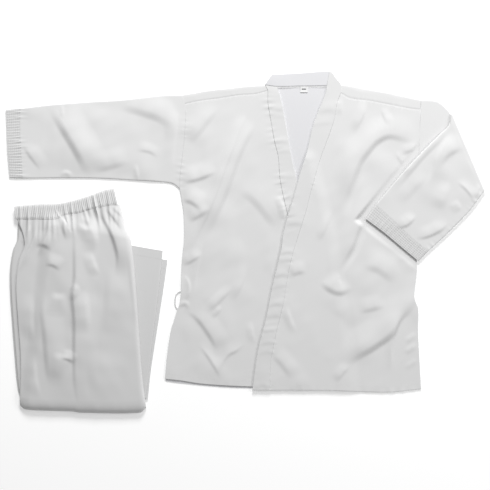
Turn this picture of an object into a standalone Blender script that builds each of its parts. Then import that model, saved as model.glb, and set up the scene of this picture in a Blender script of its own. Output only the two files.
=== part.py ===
"""A karate uniform laid flat: a wrap jacket, its left sleeve folded over at the elbow, and its trousers.

The jacket lies front up with its collar towards +Y. The trousers lie beside its right sleeve, one leg on the
other, folded again at the knee with the hems behind. Tables and sizes are in millimetres, +X is to the
viewer's right, and Z = 0 is the surface that the cloth rests on.
"""

from collections import namedtuple

import bmesh
import bpy
import numpy as np

MM = 0.001

# Cloth and clearances
WALL = 1.2
BAND = 2.1
GAP = 0.3
TUBE_AIR = 0.6
TUBE = 2 * WALL + TUBE_AIR
FRONT_REST = WALL + GAP
OVERLAP_RISE = BAND + 2 * GAP
BACK_INSET = 1.8

# Jacket outline, each line running up from the hem or across from the viewer's left
SIDE_RIGHT = ((-209, -355), (-202, -285), (-193, -228), (-185, -202), (-177, -176), (-171, -160),
              (-167, -124), (-166, -72), (-162, -20), (-159, 6), (-159, 45), (-161, 84), (-165, 110), (-170, 138))
ARMHOLE_RIGHT = ((-170, 138), (-170, 167), (-165, 214), (-159, 266), (-155, 331), (-157, 360))
SHOULDER_SEAM_RIGHT = ((-157, 360), (-118, 368), (-66, 375), (-14, 383), (28, 386), (59, 395))
SHOULDER_FOLD_RIGHT = ((-164.5, 383), (-118, 391), (-92, 395), (-14, 404), (51, 409))
HEM_RIGHT = ((-209, -355), (-170, -359), (-118, -367), (-53, -372), (18, -375), (184, -381))
BAND_SEAM_RIGHT = ((184, -381), (155, -180), (122, 20), (111, 69), (98, 123), (90, 167), (85, 227), (77, 258),
                   (64, 331), (59, 362), (59, 395))
BAND_EDGE_RIGHT = ((230, -382), (200, -180), (165, 40), (150, 100), (132, 170), (119, 227), (108, 292), (101, 331),
                   (93, 370), (82, 405))

SIDE_LEFT = ((457, -381), (454, -332), (449, -228), (449, -171), (441, -150), (439, -132), (446, -72),
             (445, -20), (444, 100), (452, 136))
ARMHOLE_LEFT = ((452, 136), (450, 190), (452, 253), (454, 305), (454, 345))
SHOULDER_SEAM_LEFT = ((249, 388), (272, 375), (324, 368), (376, 358), (428, 348), (454, 345))
SHOULDER_FOLD_LEFT = ((249, 410), (272, 407), (324, 397), (376, 388), (402, 382), (457, 370))
HEM_LEFT = ((64, -384), (142, -384), (246, -385), (304, -388), (376, -389), (457, -381))
BAND_SEAM_LEFT = ((64, -384), (67, -306), (82, -228), (98, -163), (116, -59), (134, 6), (155, 71), (173, 141),
                  (194, 214), (218, 279), (231, 318), (241, 370), (249, 388))
BAND_EDGE_LEFT = ((18, -384), (33, -280), (54, -197), (70, -116), (93, -20), (98, 19), (111, 69), (127, 121),
                  (142, 178), (158, 227), (173, 292), (184, 326), (207, 383), (212, 405))

BACK_HEM = ((-207, -361), (-172, -366), (-60, -376), (18, -379), (246, -382), (455, -376))
BACK_TOP = ((-163, 374), (-92, 386), (-14, 395), (51, 400), (148, 402), (249, 401), (324, 388), (402, 373), (456, 361))

COLLAR_SEAM = ((51, 409), (82, 405), (142, 406), (212, 407))
COLLAR_TOP = ((69, 436), (142, 440), (194, 444), (219, 445))
COLLAR_CORNER = (223, 445)

SLEEVE_RIGHT_TOP = ((-164.5, 383), (-222, 382), (-326, 370), (-378, 367), (-482, 360), (-584, 349))
SLEEVE_RIGHT_BOTTOM = ((-170, 138), (-188, 152), (-222, 157), (-274, 160), (-378, 166), (-482, 167), (-578, 166))
CUFF_RIGHT_END = ((-612, 167), (-617, 230), (-620, 290), (-622, 345))

# Left sleeve: out to the elbow fold, and back over itself to the cuff
ELBOW_AXIS_HEIGHT = 4.2
ELBOW_TOP = (534, 333)
ELBOW_BOTTOM = (619, 132)
UPPER_ARM_TOP = ((457, 370), (480, 370), (500, 366), (520, 350), ELBOW_TOP)
UPPER_ARM_BOTTOM = ((452, 136), (510, 133), (570, 131), ELBOW_BOTTOM)
FOREARM_TOP = (ELBOW_TOP, (530, 306), (506, 282), (454, 230), (402, 173), (371, 136), (340, 99))
FOREARM_BOTTOM = (ELBOW_BOTTOM, (584, 84), (532, 30), (505, 4), (476, -22))
CUFF_LEFT_END = ((450, -49), (403, -10), (360, 26), (313, 61))
FOREARM_SAG = 2.0

CUFF_RIBS_RIGHT = 26
CUFF_RIBS_LEFT = 32
RIB_HEIGHT = 0.8
CUFF_ROWS = (0, 0.1, 0.9, 1)

# How far from a piece that lies on them the folds die away
FOLD_CLEARANCE = 12.0

# Side tie loop: a narrow tape at the right side seam
LOOP_TAPE = 3.5
LOOP_HEIGHT = 2.6
LOOP_PATH = ((-169, -127), (-175, -131), (-180, -138), (-182, -149), (-182, -160), (-180, -168), (-177.4, -172))

# The part of each shoulder strip that lies under the shoulder
YOKE_FLAP = 8.0

# Neck label
LABEL_SIZE = (19, 14)
LABEL_CORNER = (143, 390)
LABEL_THICKNESS = 0.6

# Trousers
LEG_WALL = 1.5
LEG_TUBE = 2 * WALL + 0.9
HIDDEN_LAYERS = 6.5
LAYER_SLACK = 1.1
WAIST_THICKNESS = 2.6
WAIST_GATHERS = 44
GATHER_HEIGHT = 1.3

FAR_LEG_HEM = ((-492, 4), (-350, -20), (-248, -38), (-202, -46))
FAR_LEG_LEFT = ((-546, -408), (-520, -250), (-492, 4))
FAR_LEG_RIGHT = ((-253, -408), (-245, -332), (-229, -228), (-209, -98), (-202, -46))
NEAR_LEG_HEM = ((-484, 26), (-380, 8), (-294, -8), (-214, -22))
NEAR_LEG_LEFT = ((-544, -404), (-516, -250), (-484, 26))
NEAR_LEG_RIGHT = ((-259, -404), (-250, -332), (-231, -176), (-222, -98), (-214, -22))

LEG_LEFT = ((-585, -424), (-583, -306), (-590, -202), (-595, -111), (-588, -51), (-573, -7), (-580, 32), (-594, 61))
LEG_RIGHT = ((-257, -430), (-266, -358), (-274, -254), (-281, -150), (-289, -51), (-297, 6), (-315, 58), (-325, 98))
LEG_BOTTOM = ((-585, -424), (-573, -434), (-508, -438), (-448, -440), (-430, -443), (-274, -443), (-257, -430))
LEG_TOP = ((-594, 61), (-542, 61), (-487, 62), (-470, 73), (-430, 79), (-404, 87), (-352, 98), (-325, 98))
UNDER_LEFT = ((-580, -414), (-591, -384), (-601, -280), (-609, -176), (-612, -124), (-612, -72), (-604, -20),
              (-594, 4), (-592, 36), (-588, 90))
UNDER_RIGHT = ((-266, -414), (-284, -254), (-299, -51), (-325, 58), (-350, 128))
UNDER_BOTTOM = ((-580, -414), (-266, -414))
UNDER_TOP = ((-588, 90), (-487, 95), (-430, 106), (-350, 128))
WAIST_BOTTOM = ((-596, 62), (-542, 62), (-487, 63), (-470, 74), (-430, 80), (-404, 88), (-352, 99), (-331, 99))
WAIST_TOP = ((-599, 95), (-534, 100), (-487, 101), (-443, 110), (-404, 122), (-365, 136), (-341, 141))

# A fold is a soft ridge: the line of its crest, the half width of its foot, and its height
Fold = namedtuple("Fold", "crest reach height")

JACKET_FOLDS = (
    Fold(((-512, 362), (-492, 323), (-471, 287), (-445, 245), (-424, 204), (-410, 170)), 34, 7.0),
    Fold(((-575, 251), (-565, 232), (-549, 209), (-528, 186)), 16, 2.4),
    Fold(((-340, 362), (-287, 349), (-248, 336), (-216, 323), (-170, 288)), 26, 3.6),
    Fold(((-390, 182), (-346, 193), (-300, 216)), 22, 2.6),
    Fold(((24, 380), (-1, 344), (-21, 297), (-42, 245), (-63, 193), (-86, 141), (-115, 82)), 24, 5.0),
    Fold(((12, 339), (-8, 287), (-29, 235), (-50, 175), (-73, 115), (-102, 53), (-128, -7), (-157, -61)), 18, 3.4),
    Fold(((52, 330), (31, 271), (7, 225), (-14, 175), (-34, 123), (-60, 71), (-81, 19), (-99, -41), (-118, -118)),
         24, 5.4),
    Fold(((-70, 364), (-107, 313), (-148, 268)), 22, 3.4),
    Fold(((-166, 128), (-138, 134), (-107, 141), (-70, 160)), 20, 4.2),
    Fold(((-142, -166), (-115, -197), (-92, -228), (-62, -276)), 24, 4.6),
    Fold(((-26, -114), (-76, -155), (-110, -190)), 18, 2.6),
    Fold(((-132, -276), (-99, -311), (-70, -358)), 16, 2.8),
    Fold(((8, -262), (-24, -295), (-60, -336)), 16, 2.8),
    Fold(((397, 258), (371, 251), (350, 232), (327, 209), (309, 183), (293, 147), (278, 110), (258, 62)), 20, 4.2),
    Fold(((336, 86), (311, 43), (296, 6), (278, -30), (250, -78)), 22, 4.2),
    Fold(((444, -77), (413, -124), (376, -155), (335, -181), (288, -217), (240, -252)), 30, 5.0),
    Fold(((430, -160), (402, -207), (392, -249), (371, -285), (335, -311), (292, -340)), 22, 4.0),
    Fold(((190, -118), (220, -142), (249, -158), (282, -142)), 16, 2.8),
    Fold(((224, 86), (200, 27), (180, -20)), 18, 2.6),
    Fold(((308, 372), (293, 329), (268, 270)), 24, 3.0),
    Fold(((140, -66), (119, -108), (102, -150)), 14, 2.4),
)

FOREARM_FOLDS = (
    Fold(((552, 290), (517, 245), (491, 199), (476, 150)), 20, 4.4),
    Fold(((582, 226), (564, 173), (578, 120)), 18, 3.2),
    Fold(((390, 44), (423, 37), (454, 27), (500, 22)), 16, 3.4),
    Fold(((462, 232), (413, 173), (372, 122)), 16, 2.6),
)

TROUSER_FOLDS = (
    Fold(((-435, 60), (-435, -7), (-435, -67), (-440, -124), (-437, -202), (-440, -280), (-430, -358), (-420, -440)),
         34, 4.6),
    Fold(((-392, 100), (-367, 58), (-346, 17), (-333, -33), (-336, -85), (-355, -160)), 26, 6.5),
    Fold(((-322, 90), (-305, 37), (-294, -15), (-284, -85), (-274, -170)), 20, 3.2),
    Fold(((-470, 78), (-450, 43), (-445, 5)), 16, 3.4),
    Fold(((-523, 60), (-531, -7), (-544, -67), (-534, -150)), 20, 3.4),
    Fold(((-521, -140), (-515, -202), (-508, -267), (-502, -350)), 24, 3.4),
    Fold(((-489, 72), (-492, 17), (-497, -45)), 14, 2.4),
    Fold(((-422, 80), (-398, 37), (-380, -15)), 16, 3.0),
    Fold(((-409, -140), (-404, -228), (-396, -316)), 26, 2.8),
)


def clear_scene():
    for item in list(bpy.data.objects):
        bpy.data.objects.remove(item, do_unlink=True)


def smoothstep(value):
    value = np.clip(value, 0.0, 1.0)
    return value * value * (3 - 2 * value)


def sampled(points, fractions):
    """A smooth line through the points, read at these fractions of its length."""
    knots = np.asarray(points, float)
    lengths = np.concatenate([[0.0], np.cumsum(np.hypot(*np.diff(knots, axis=0).T))])
    wide = np.concatenate([knots[:1], knots, knots[-1:]])
    reach = np.concatenate([lengths[:1], lengths, lengths[-1:]])
    slopes = (wide[2:] - wide[:-2]) / (reach[2:] - reach[:-2])[:, None]
    at = np.asarray(fractions) * lengths[-1]
    first = np.clip(np.searchsorted(lengths, at, side="right") - 1, 0, len(knots) - 2)
    span = (lengths[first + 1] - lengths[first])[:, None]
    t = (at - lengths[first])[:, None] / span
    return (
        (1 + 2 * t) * (1 - t) ** 2 * knots[first]
        + t * (1 - t) ** 2 * span * slopes[first]
        + t * t * (3 - 2 * t) * knots[first + 1]
        + t * t * (t - 1) * span * slopes[first + 1]
    )


def even(count):
    return np.linspace(0.0, 1.0, count)


def seams_joined(*lines):
    """Sampled lines end to end, with each shared point kept once."""
    kept = [lines[0]] + [line[1:] for line in lines[1:]]
    return np.concatenate(kept)


def patch(bottom, top, left, right, across, up):
    """The panel between four sampled edges, as rows running across from its bottom edge to its top one."""
    u = np.asarray(across)[None, :, None]
    v = np.asarray(up)[:, None, None]
    corners = (1 - v) * ((1 - u) * bottom[0] + u * bottom[-1]) + v * ((1 - u) * top[0] + u * top[-1])
    return (1 - v) * bottom + v * top + (1 - u) * left[:, None] + u * right[:, None] - corners


def drawn_in(grid, left=0.0, right=0.0, bottom=0.0, top=0.0):
    """The panel with its edges moved in, for the clearance at its seams."""
    moved = grid.copy()
    edges = ((grid[:, 0], moved[:, 0], left, 1), (grid[:, -1], moved[:, -1], right, -1),
             (grid[0], moved[0], bottom, -1), (grid[-1], moved[-1], top, 1))
    for edge, target, amount, side in edges:
        along = np.gradient(edge, axis=0)
        along /= np.linalg.norm(along, axis=1)[:, None]
        target += side * amount * np.stack([along[:, 1], -along[:, 0]], axis=1)
    return moved


def fold_height(plan, folds):
    """How far the folds lift the cloth over each point of a plan."""
    height = np.zeros(plan.shape[:-1])
    for fold in folds:
        crest = sampled(fold.crest, even(4 * len(fold.crest)))
        best = np.full(height.shape, np.inf)
        share = np.zeros(height.shape)
        for step, (start, end) in enumerate(zip(crest[:-1], crest[1:])):
            run = end - start
            t = np.clip(((plan - start) @ run) / (run @ run), 0, 1)
            away = np.linalg.norm(plan - start - t[..., None] * run, axis=-1)
            share = np.where(away < best, (step + t) / (len(crest) - 1), share)
            best = np.minimum(best, away)
        bump = np.clip(1 - (best / fold.reach) ** 2, 0, 1) ** 2
        height += fold.height * bump * (1 - (2 * share - 1) ** 4)
    return height


def edge_at(line, across):
    """Where a line that runs up the jacket crosses each height."""
    points = np.asarray(line, float)
    return np.interp(across, points[:, 1], points[:, 0])


def overlap_rise(plan):
    """How much higher the left front lies where the right front's band is under it."""
    under_edge = edge_at(BAND_EDGE_RIGHT, plan[..., 1])
    beside = smoothstep((under_edge + 76 - plan[..., 0]) / 40)
    below = smoothstep((248 - plan[..., 1]) / 50)
    return OVERLAP_RISE * beside * below


def clear_of_forearm(plan):
    """From 0 under the folded forearm to 1 beside it."""
    corners = np.asarray((ELBOW_BOTTOM, ELBOW_TOP, CUFF_LEFT_END[-1], CUFF_LEFT_END[0]), float)
    outside = np.full(plan.shape[:-1], -np.inf)
    for start, end in zip(corners, np.roll(corners, -1, axis=0)):
        along = (end - start) / np.linalg.norm(end - start)
        outside = np.maximum(outside, (plan - start) @ np.array((-along[1], along[0])) * -1)
    return smoothstep((outside - FOLD_CLEARANCE) / FOLD_CLEARANCE)


def clear_of_left_front(plan):
    """From 0 under the left front to 1 beside it."""
    edge = edge_at(BAND_EDGE_LEFT, plan[..., 1])
    return smoothstep((edge - plan[..., 0]) / FOLD_CLEARANCE)


def with_height(plan, height):
    return np.concatenate([plan, np.broadcast_to(height, plan.shape[:-1])[..., None]], axis=-1)


def add_object(name, vertices, faces, colour, roughness=0.9):
    """One closed body with its faces pointing out and a material of its own."""
    mesh = bpy.data.meshes.new(name)
    mesh.from_pydata([tuple(point) for point in np.asarray(vertices) * MM], [], faces)
    surface = bmesh.new()
    surface.from_mesh(mesh)
    bmesh.ops.recalc_face_normals(surface, faces=surface.faces)
    surface.to_mesh(mesh)
    surface.free()
    mesh.shade_smooth()
    mesh.set_sharp_from_angle(angle=np.radians(50))
    material = bpy.data.materials.new(name + "_cloth")
    material.use_nodes = True
    shader = material.node_tree.nodes["Principled BSDF"]
    shader.inputs["Base Color"].default_value = (*colour, 1.0)
    shader.inputs["Roughness"].default_value = roughness
    shader.inputs["Metallic"].default_value = 0.0
    mesh.materials.append(material)
    built = bpy.data.objects.new(name, mesh)
    bpy.context.scene.collection.objects.link(built)
    return built


def grid_faces(rows, columns, start, closed=False):
    """Four-sided faces over a grid of points, joined round to its first column where it is closed."""
    faces = []
    for row in range(rows - 1):
        for column in range(columns if closed else columns - 1):
            after = (column + 1) % columns
            low = start + row * columns
            high = low + columns
            faces.append((low + column, low + after, high + after, high + column))
    return faces


def add_sheet(name, upper, lower, colour):
    """A wall of cloth between its upper and lower surface, closed along its four edges."""
    rows, columns = upper.shape[:2]
    offset = rows * columns
    rim = (
        [column for column in range(columns)]
        + [row * columns + columns - 1 for row in range(1, rows)]
        + [offset - 1 - column for column in range(1, columns)]
        + [row * columns for row in range(rows - 2, 0, -1)]
    )
    faces = grid_faces(rows, columns, 0)
    faces += [tuple(reversed(face)) for face in grid_faces(rows, columns, offset)]
    for here, after in zip(rim, rim[1:] + rim[:1]):
        faces.append((after, here, offset + here, offset + after))
    vertices = np.concatenate([upper.reshape(-1, 3), lower.reshape(-1, 3)])
    return add_object(name, vertices, faces, colour)


def ring(plan, top, bottom, edge_height, inset, under):
    """Closed rings across a flattened tube: over its top, round its edge, and back along its underside."""
    plan = plan.copy()
    plan[:, 0] += inset * (plan[:, 1] - plan[:, 0])
    plan[:, -1] += inset * (plan[:, -2] - plan[:, -1])
    over = with_height(plan, top)
    over[:, (0, -1), 2] = edge_height
    return np.concatenate([over, with_height(plan, bottom)[:, under]], axis=1)


def add_tube(name, plan, top, bottom, colour, shape=None, wall=WALL, plain=()):
    """A flattened sleeve or leg, open at both ends: its wall between an outer and an inner ring at each row.

    The side away from the folds or ribs keeps only some of the columns, or those named as plain."""
    middle = (top.min() + bottom.max()) / 2
    columns = plan.shape[1]
    under = plain or (columns - 2,) + tuple(range(columns - 4, 2, -2)) + (1,)
    outer = ring(plan, top, bottom, middle, 0.0, under)
    inner = ring(plan, top - wall, bottom + wall, middle, 0.6, under)
    if shape is not None:
        outer, inner = shape(outer), shape(inner)
    rows, around = outer.shape[:2]
    offset = rows * around
    faces = grid_faces(rows, around, 0, closed=True)
    faces += [tuple(reversed(face)) for face in grid_faces(rows, around, offset, closed=True)]
    last = (rows - 1) * around
    for column in range(around):
        after = (column + 1) % around
        faces.append((after, column, offset + column, offset + after))
        faces.append((last + column, last + after, offset + last + after, offset + last + column))
    vertices = np.concatenate([outer.reshape(-1, 3), inner.reshape(-1, 3)])
    return add_object(name, vertices, faces, colour)


WHITE = (0.80, 0.80, 0.80)
CUFF_WHITE = (0.72, 0.72, 0.72)
INSIDE_WHITE = (0.78, 0.78, 0.80)
TROUSER_WHITE = (0.74, 0.74, 0.74)
LABEL_WHITE = (0.86, 0.86, 0.86)

# The fractions across a flattened tube, with a narrow turn at each edge
TUBE_ACROSS = np.array((0, 0.012, 0.12, 0.23, 0.34, 0.45, 0.56, 0.67, 0.78, 0.89, 0.988, 1))


# Rows up a front: its side seam, then its armhole
FRONT_ACROSS = even(13)
SIDE_ROWS = 18
ARMHOLE_ROWS = 9
SIDE_SHARE = 0.69
FRONT_UP = seams_joined(SIDE_SHARE * even(SIDE_ROWS), SIDE_SHARE + (1 - SIDE_SHARE) * even(ARMHOLE_ROWS))
BAND_ACROSS = even(4)


def body_side(side, armhole):
    """The outline of a front or the back: up its side seam, then up its armhole."""
    return seams_joined(sampled(side, even(SIDE_ROWS)), sampled(armhole, even(ARMHOLE_ROWS)))


def add_back():
    """The back panel, flat on the surface, with its hem a little below the fronts'."""
    across = even(6)
    right = body_side((BACK_HEM[0],) + SIDE_RIGHT[1:], ARMHOLE_RIGHT + (BACK_TOP[0],))
    left = body_side((BACK_HEM[-1],) + SIDE_LEFT[1:], ARMHOLE_LEFT + (BACK_TOP[-1],))
    plan = patch(sampled(BACK_HEM, across), sampled(BACK_TOP, across), right, left, across, FRONT_UP)
    plan = drawn_in(plan, left=BACK_INSET, right=BACK_INSET)
    add_sheet("back", with_height(plan, WALL), with_height(plan, 0), INSIDE_WHITE)


def add_jacket_sheet(name, plan, rest, thickness, colour, share=1.0):
    """A jacket piece that lies at this height, with its share of the folds."""
    bottom = rest + share * fold_height(plan, JACKET_FOLDS)
    return add_sheet(name, with_height(plan, bottom + thickness), with_height(plan, bottom), colour)


def add_fronts():
    """The two fronts, from side seam to band seam and from hem to shoulder seam."""
    outer_right = body_side(SIDE_RIGHT, ARMHOLE_RIGHT)
    plan = patch(sampled(HEM_RIGHT, FRONT_ACROSS), sampled(SHOULDER_SEAM_RIGHT, FRONT_ACROSS),
                 outer_right, sampled(BAND_SEAM_RIGHT, FRONT_UP), FRONT_ACROSS, FRONT_UP)
    plan = drawn_in(plan, left=GAP / 2, right=GAP / 2, top=GAP / 2)
    add_jacket_sheet("front_right", plan, FRONT_REST, WALL, WHITE, clear_of_left_front(plan))

    outer_left = body_side(SIDE_LEFT, ARMHOLE_LEFT)
    plan = patch(sampled(HEM_LEFT, FRONT_ACROSS), sampled(SHOULDER_SEAM_LEFT, FRONT_ACROSS),
                 sampled(BAND_SEAM_LEFT, FRONT_UP), outer_left, FRONT_ACROSS, FRONT_UP)
    plan = drawn_in(plan, left=GAP / 2, right=GAP / 2, top=GAP / 2)
    add_jacket_sheet("front_left", plan, FRONT_REST + overlap_rise(plan), WALL, WHITE, clear_of_forearm(plan))


def add_bands():
    """The doubled band down each front edge, the left one lying over the right one."""
    outer = np.vstack([sampled(BAND_SEAM_RIGHT, FRONT_UP), COLLAR_SEAM[0]])
    up = np.append(FRONT_UP, 1.02) / 1.02
    plan = patch(sampled((BAND_SEAM_RIGHT[0], BAND_EDGE_RIGHT[0]), BAND_ACROSS),
                 sampled(COLLAR_SEAM[:2], BAND_ACROSS), outer, sampled(BAND_EDGE_RIGHT, up), BAND_ACROSS, up)
    plan = drawn_in(plan, left=GAP / 2, top=GAP / 2)
    add_jacket_sheet("band_right", plan, FRONT_REST, BAND, WHITE, clear_of_left_front(plan))

    collar_end = (COLLAR_SEAM[-1], (214, 420), COLLAR_TOP[-1])
    neck_share = 0.96
    up = seams_joined(neck_share * FRONT_UP, neck_share + (1 - neck_share) * even(4))
    outer = seams_joined(sampled(BAND_SEAM_LEFT, FRONT_UP),
                         sampled((BAND_SEAM_LEFT[-1], (249, 410), (236, 426), COLLAR_CORNER), even(4)))
    inner = seams_joined(sampled(BAND_EDGE_LEFT[:-1] + (COLLAR_SEAM[-1],), FRONT_UP), sampled(collar_end, even(4)))
    plan = patch(sampled((BAND_EDGE_LEFT[0], BAND_SEAM_LEFT[0]), BAND_ACROSS),
                 sampled((COLLAR_TOP[-1], COLLAR_CORNER), BAND_ACROSS), inner, outer, BAND_ACROSS, up)
    plan = drawn_in(plan, left=GAP / 2, right=GAP / 2)
    add_jacket_sheet("band_left", plan, FRONT_REST + overlap_rise(plan), BAND, WHITE)


def add_collar():
    """The band across the back of the neck, showing its inner side."""
    across, up = even(13), even(4)
    plan = patch(sampled(COLLAR_SEAM, across), sampled(COLLAR_TOP, across),
                 sampled((COLLAR_SEAM[0], (59, 422), COLLAR_TOP[0]), up),
                 sampled((COLLAR_SEAM[-1], (214, 420), COLLAR_TOP[-1]), up), across, up)
    plan = drawn_in(plan, right=GAP / 2, bottom=2 * GAP)
    add_jacket_sheet("collar_band", plan, FRONT_REST, BAND, INSIDE_WHITE)


def yoke_surface(edge, inward, width, shares, fixed, heights):
    """One side of a shoulder strip: its section at each step along the shoulder line."""
    distance = np.concatenate([width[:, None] * shares, np.broadcast_to(fixed, (len(edge), len(fixed)))], axis=1)
    plan = edge[:, None] + distance[..., None] * inward[:, None]
    folded = fold_height(edge + inward * width[:, None], JACKET_FOLDS)
    over_layer = np.asarray(heights) >= FRONT_REST
    lift = folded[:, None] * over_layer * distance / width[:, None]
    return with_height(plan, np.asarray(heights) + lift)


def add_yokes():
    """The strip at each shoulder: it turns over the shoulder line and runs under as far as the back panel."""
    turn = FRONT_REST + WALL
    half = turn / 2
    shares = np.array((1.0, 0.5))
    outer_in = (half, 0.3 * half, 0.0, 0.3 * half, half, YOKE_FLAP)
    outer_up = (turn, turn, turn, 0.86 * turn, half, 0.14 * turn, 0.0, 0.0)
    inner_in = (half + 0.1, WALL + 0.06, WALL, WALL + 0.06, half + 0.1, YOKE_FLAP)
    inner_up = (FRONT_REST, FRONT_REST, FRONT_REST, half + 0.1, half, half - 0.1, WALL, WALL)
    for side, fold, seam in (("right", SHOULDER_FOLD_RIGHT, SHOULDER_SEAM_RIGHT),
                             ("left", SHOULDER_FOLD_LEFT, SHOULDER_SEAM_LEFT)):
        edge = sampled(fold, FRONT_ACROSS)
        edge[0, 0] += GAP
        edge[-1, 0] -= GAP
        line = sampled(seam, FRONT_ACROSS)
        line[0, 0] += GAP
        line[-1, 0] -= GAP
        width = np.linalg.norm(line - edge, axis=1)
        inward = (line - edge) / width[:, None]
        upper = yoke_surface(edge, inward, width - GAP / 2, shares, outer_in, outer_up)
        lower = yoke_surface(edge, inward, width - GAP / 2, shares, inner_in, inner_up)
        add_sheet("yoke_" + side, upper, lower, WHITE)


def ruled(start, end, stations):
    """Rows that pass evenly from one line to another."""
    t = np.asarray(stations)[:, None, None]
    return (1 - t) * start + t * end


def sleeve_plan(armhole, top, bottom, end, stations):
    """Lines across a sleeve from its armhole seam to its end, each running from the lower edge to the upper."""
    upper, lower = sampled(top, stations), sampled(bottom, stations)
    first, last = sampled(armhole, TUBE_ACROSS), sampled(end, TUBE_ACROSS)
    return patch(first, last, lower, upper, TUBE_ACROSS, stations)


def cuff_across(count):
    """Fractions across a cuff: a narrow turn at each edge, and a groove and a rib in turn between them."""
    return np.concatenate([[0], np.linspace(0.015, 0.985, 2 * count + 1), [1]])


def rib_lift(plan):
    """The ribs over the columns of a cuff, plain along its two ends."""
    lift = np.zeros(plan.shape[:2])
    lift[1:-1, 1:-1] = RIB_HEIGHT * (np.arange(plan.shape[1] - 2) % 2)
    return lift


def add_right_sleeve():
    """The right sleeve, spread out flat, and its ribbed cuff."""
    stations = even(19)
    end = (SLEEVE_RIGHT_BOTTOM[-1], (-581, 230), (-584, 290), SLEEVE_RIGHT_TOP[-1])
    plan = sleeve_plan(ARMHOLE_RIGHT + (SLEEVE_RIGHT_TOP[0],), SLEEVE_RIGHT_TOP, SLEEVE_RIGHT_BOTTOM, end, stations)
    plan[0, :, 0] -= GAP
    top = TUBE + fold_height(plan, JACKET_FOLDS)
    add_tube("sleeve_right", plan, top, np.zeros(top.shape), WHITE)

    across = cuff_across(CUFF_RIBS_RIGHT)
    seam, edge = sampled(end, across), sampled(CUFF_RIGHT_END, across)
    plan = ruled(seam, edge, CUFF_ROWS)
    plan[0, :, 0] -= GAP
    top = TUBE + fold_height(plan, JACKET_FOLDS) + rib_lift(plan)
    add_tube("cuff_right", plan, top, np.zeros(top.shape), CUFF_WHITE)


def elbow_turned(rings, angles, drop):
    """Rings of the left sleeve bent round the elbow line by an angle for each row, then lowered by a drop."""
    line = np.asarray(ELBOW_BOTTOM, float) - ELBOW_TOP
    line /= np.linalg.norm(line)
    outward = np.array((-line[1], line[0]))
    radius = ELBOW_AXIS_HEIGHT - rings[..., 2]
    turned = rings.copy()
    turned[..., :2] += outward * (radius * np.sin(angles)[:, None])[..., None]
    turned[..., 2] = ELBOW_AXIS_HEIGHT - radius * np.cos(angles)[:, None] - drop[:, None]
    return turned


def add_left_sleeve():
    """The left sleeve: one tube that runs out to the elbow, turns over there and lies back on itself."""
    out_stations, back_stations = even(6), even(14)
    elbow = (ELBOW_BOTTOM, ELBOW_TOP)
    upper_arm = sleeve_plan(ARMHOLE_LEFT[:-1] + (UPPER_ARM_TOP[0],), UPPER_ARM_TOP, UPPER_ARM_BOTTOM, elbow,
                            out_stations)
    upper_arm[0, :, 0] += GAP
    end = (FOREARM_BOTTOM[-1], (433, 13), (390, 55), FOREARM_TOP[-1])
    forearm = sleeve_plan(elbow, FOREARM_TOP, FOREARM_BOTTOM, end, back_stations)
    bend = np.repeat(forearm[:1], 3, axis=0)
    plan = np.concatenate([upper_arm, bend, forearm])
    angles = np.concatenate([0 * out_stations, np.pi * np.array((0.25, 0.5, 0.75)), np.pi + 0 * back_stations])
    drop = np.concatenate([np.zeros(9), FOREARM_SAG * smoothstep(back_stations)])
    turned_over = (angles > 3)[:, None]
    top = TUBE + np.zeros(plan.shape[:2])
    bottom = -fold_height(plan, FOREARM_FOLDS) * turned_over
    every = tuple(range(plan.shape[1] - 2, 0, -1))
    add_tube("sleeve_left", plan, top, bottom, WHITE, lambda rings: elbow_turned(rings, angles, drop), plain=every)

    across = cuff_across(CUFF_RIBS_LEFT)
    seam, edge = sampled(end, across), sampled(CUFF_LEFT_END, across)
    plan = ruled(seam, edge, CUFF_ROWS)
    plan[0] += GAP * (plan[1] - plan[0]) / np.linalg.norm(plan[1] - plan[0], axis=1)[:, None]
    bottom = -fold_height(plan, FOREARM_FOLDS) - rib_lift(plan)
    top = TUBE + np.zeros(bottom.shape)
    angles, drop = np.full(len(CUFF_ROWS), np.pi), np.full(len(CUFF_ROWS), FOREARM_SAG)
    every = tuple(range(plan.shape[1] - 2, 0, -1))
    add_tube("cuff_left", plan, top, bottom, CUFF_WHITE, lambda rings: elbow_turned(rings, angles, drop), plain=every)


def add_side_loop():
    """The loop of narrow tape that stands out from the right side seam."""
    path = sampled(LOOP_PATH, even(13))
    along = np.gradient(path, axis=0)
    along /= np.linalg.norm(along, axis=1)[:, None]
    aside = np.stack([-along[:, 1], along[:, 0]], axis=1) * LOOP_TAPE / 2
    plan = np.stack([path - aside, path + aside], axis=1)
    add_sheet("side_loop", with_height(plan, LOOP_HEIGHT), with_height(plan, 0), WHITE)


def add_label():
    """The plain neck label on the back panel's inner side."""
    x, y = LABEL_CORNER
    width, height = LABEL_SIZE
    plan = np.array((((x, y), (x + width, y)), ((x, y + height), (x + width, y + height))), float)
    add_sheet("neck_label", with_height(plan, FRONT_REST + LABEL_THICKNESS), with_height(plan, FRONT_REST),
              LABEL_WHITE)


def leg_floor(plan):
    """The height that the upper legs lie at: the lower legs' two thicknesses, and nothing beyond them."""
    edge = np.asarray(NEAR_LEG_LEFT, float)
    left = np.interp(plan[..., 1], edge[:, 1], edge[:, 0])
    hem = np.asarray(NEAR_LEG_HEM, float)
    top = np.interp(plan[..., 0], hem[:, 0], hem[:, 1])
    beside = smoothstep((plan[..., 0] - left + 50) / 38)
    below = smoothstep((top + 58 - plan[..., 1]) / 44)
    return 2 * (LEG_TUBE + GAP) * beside * below


def under_top(plan):
    """The top of the hidden layers."""
    return leg_floor(plan) + HIDDEN_LAYERS


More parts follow.
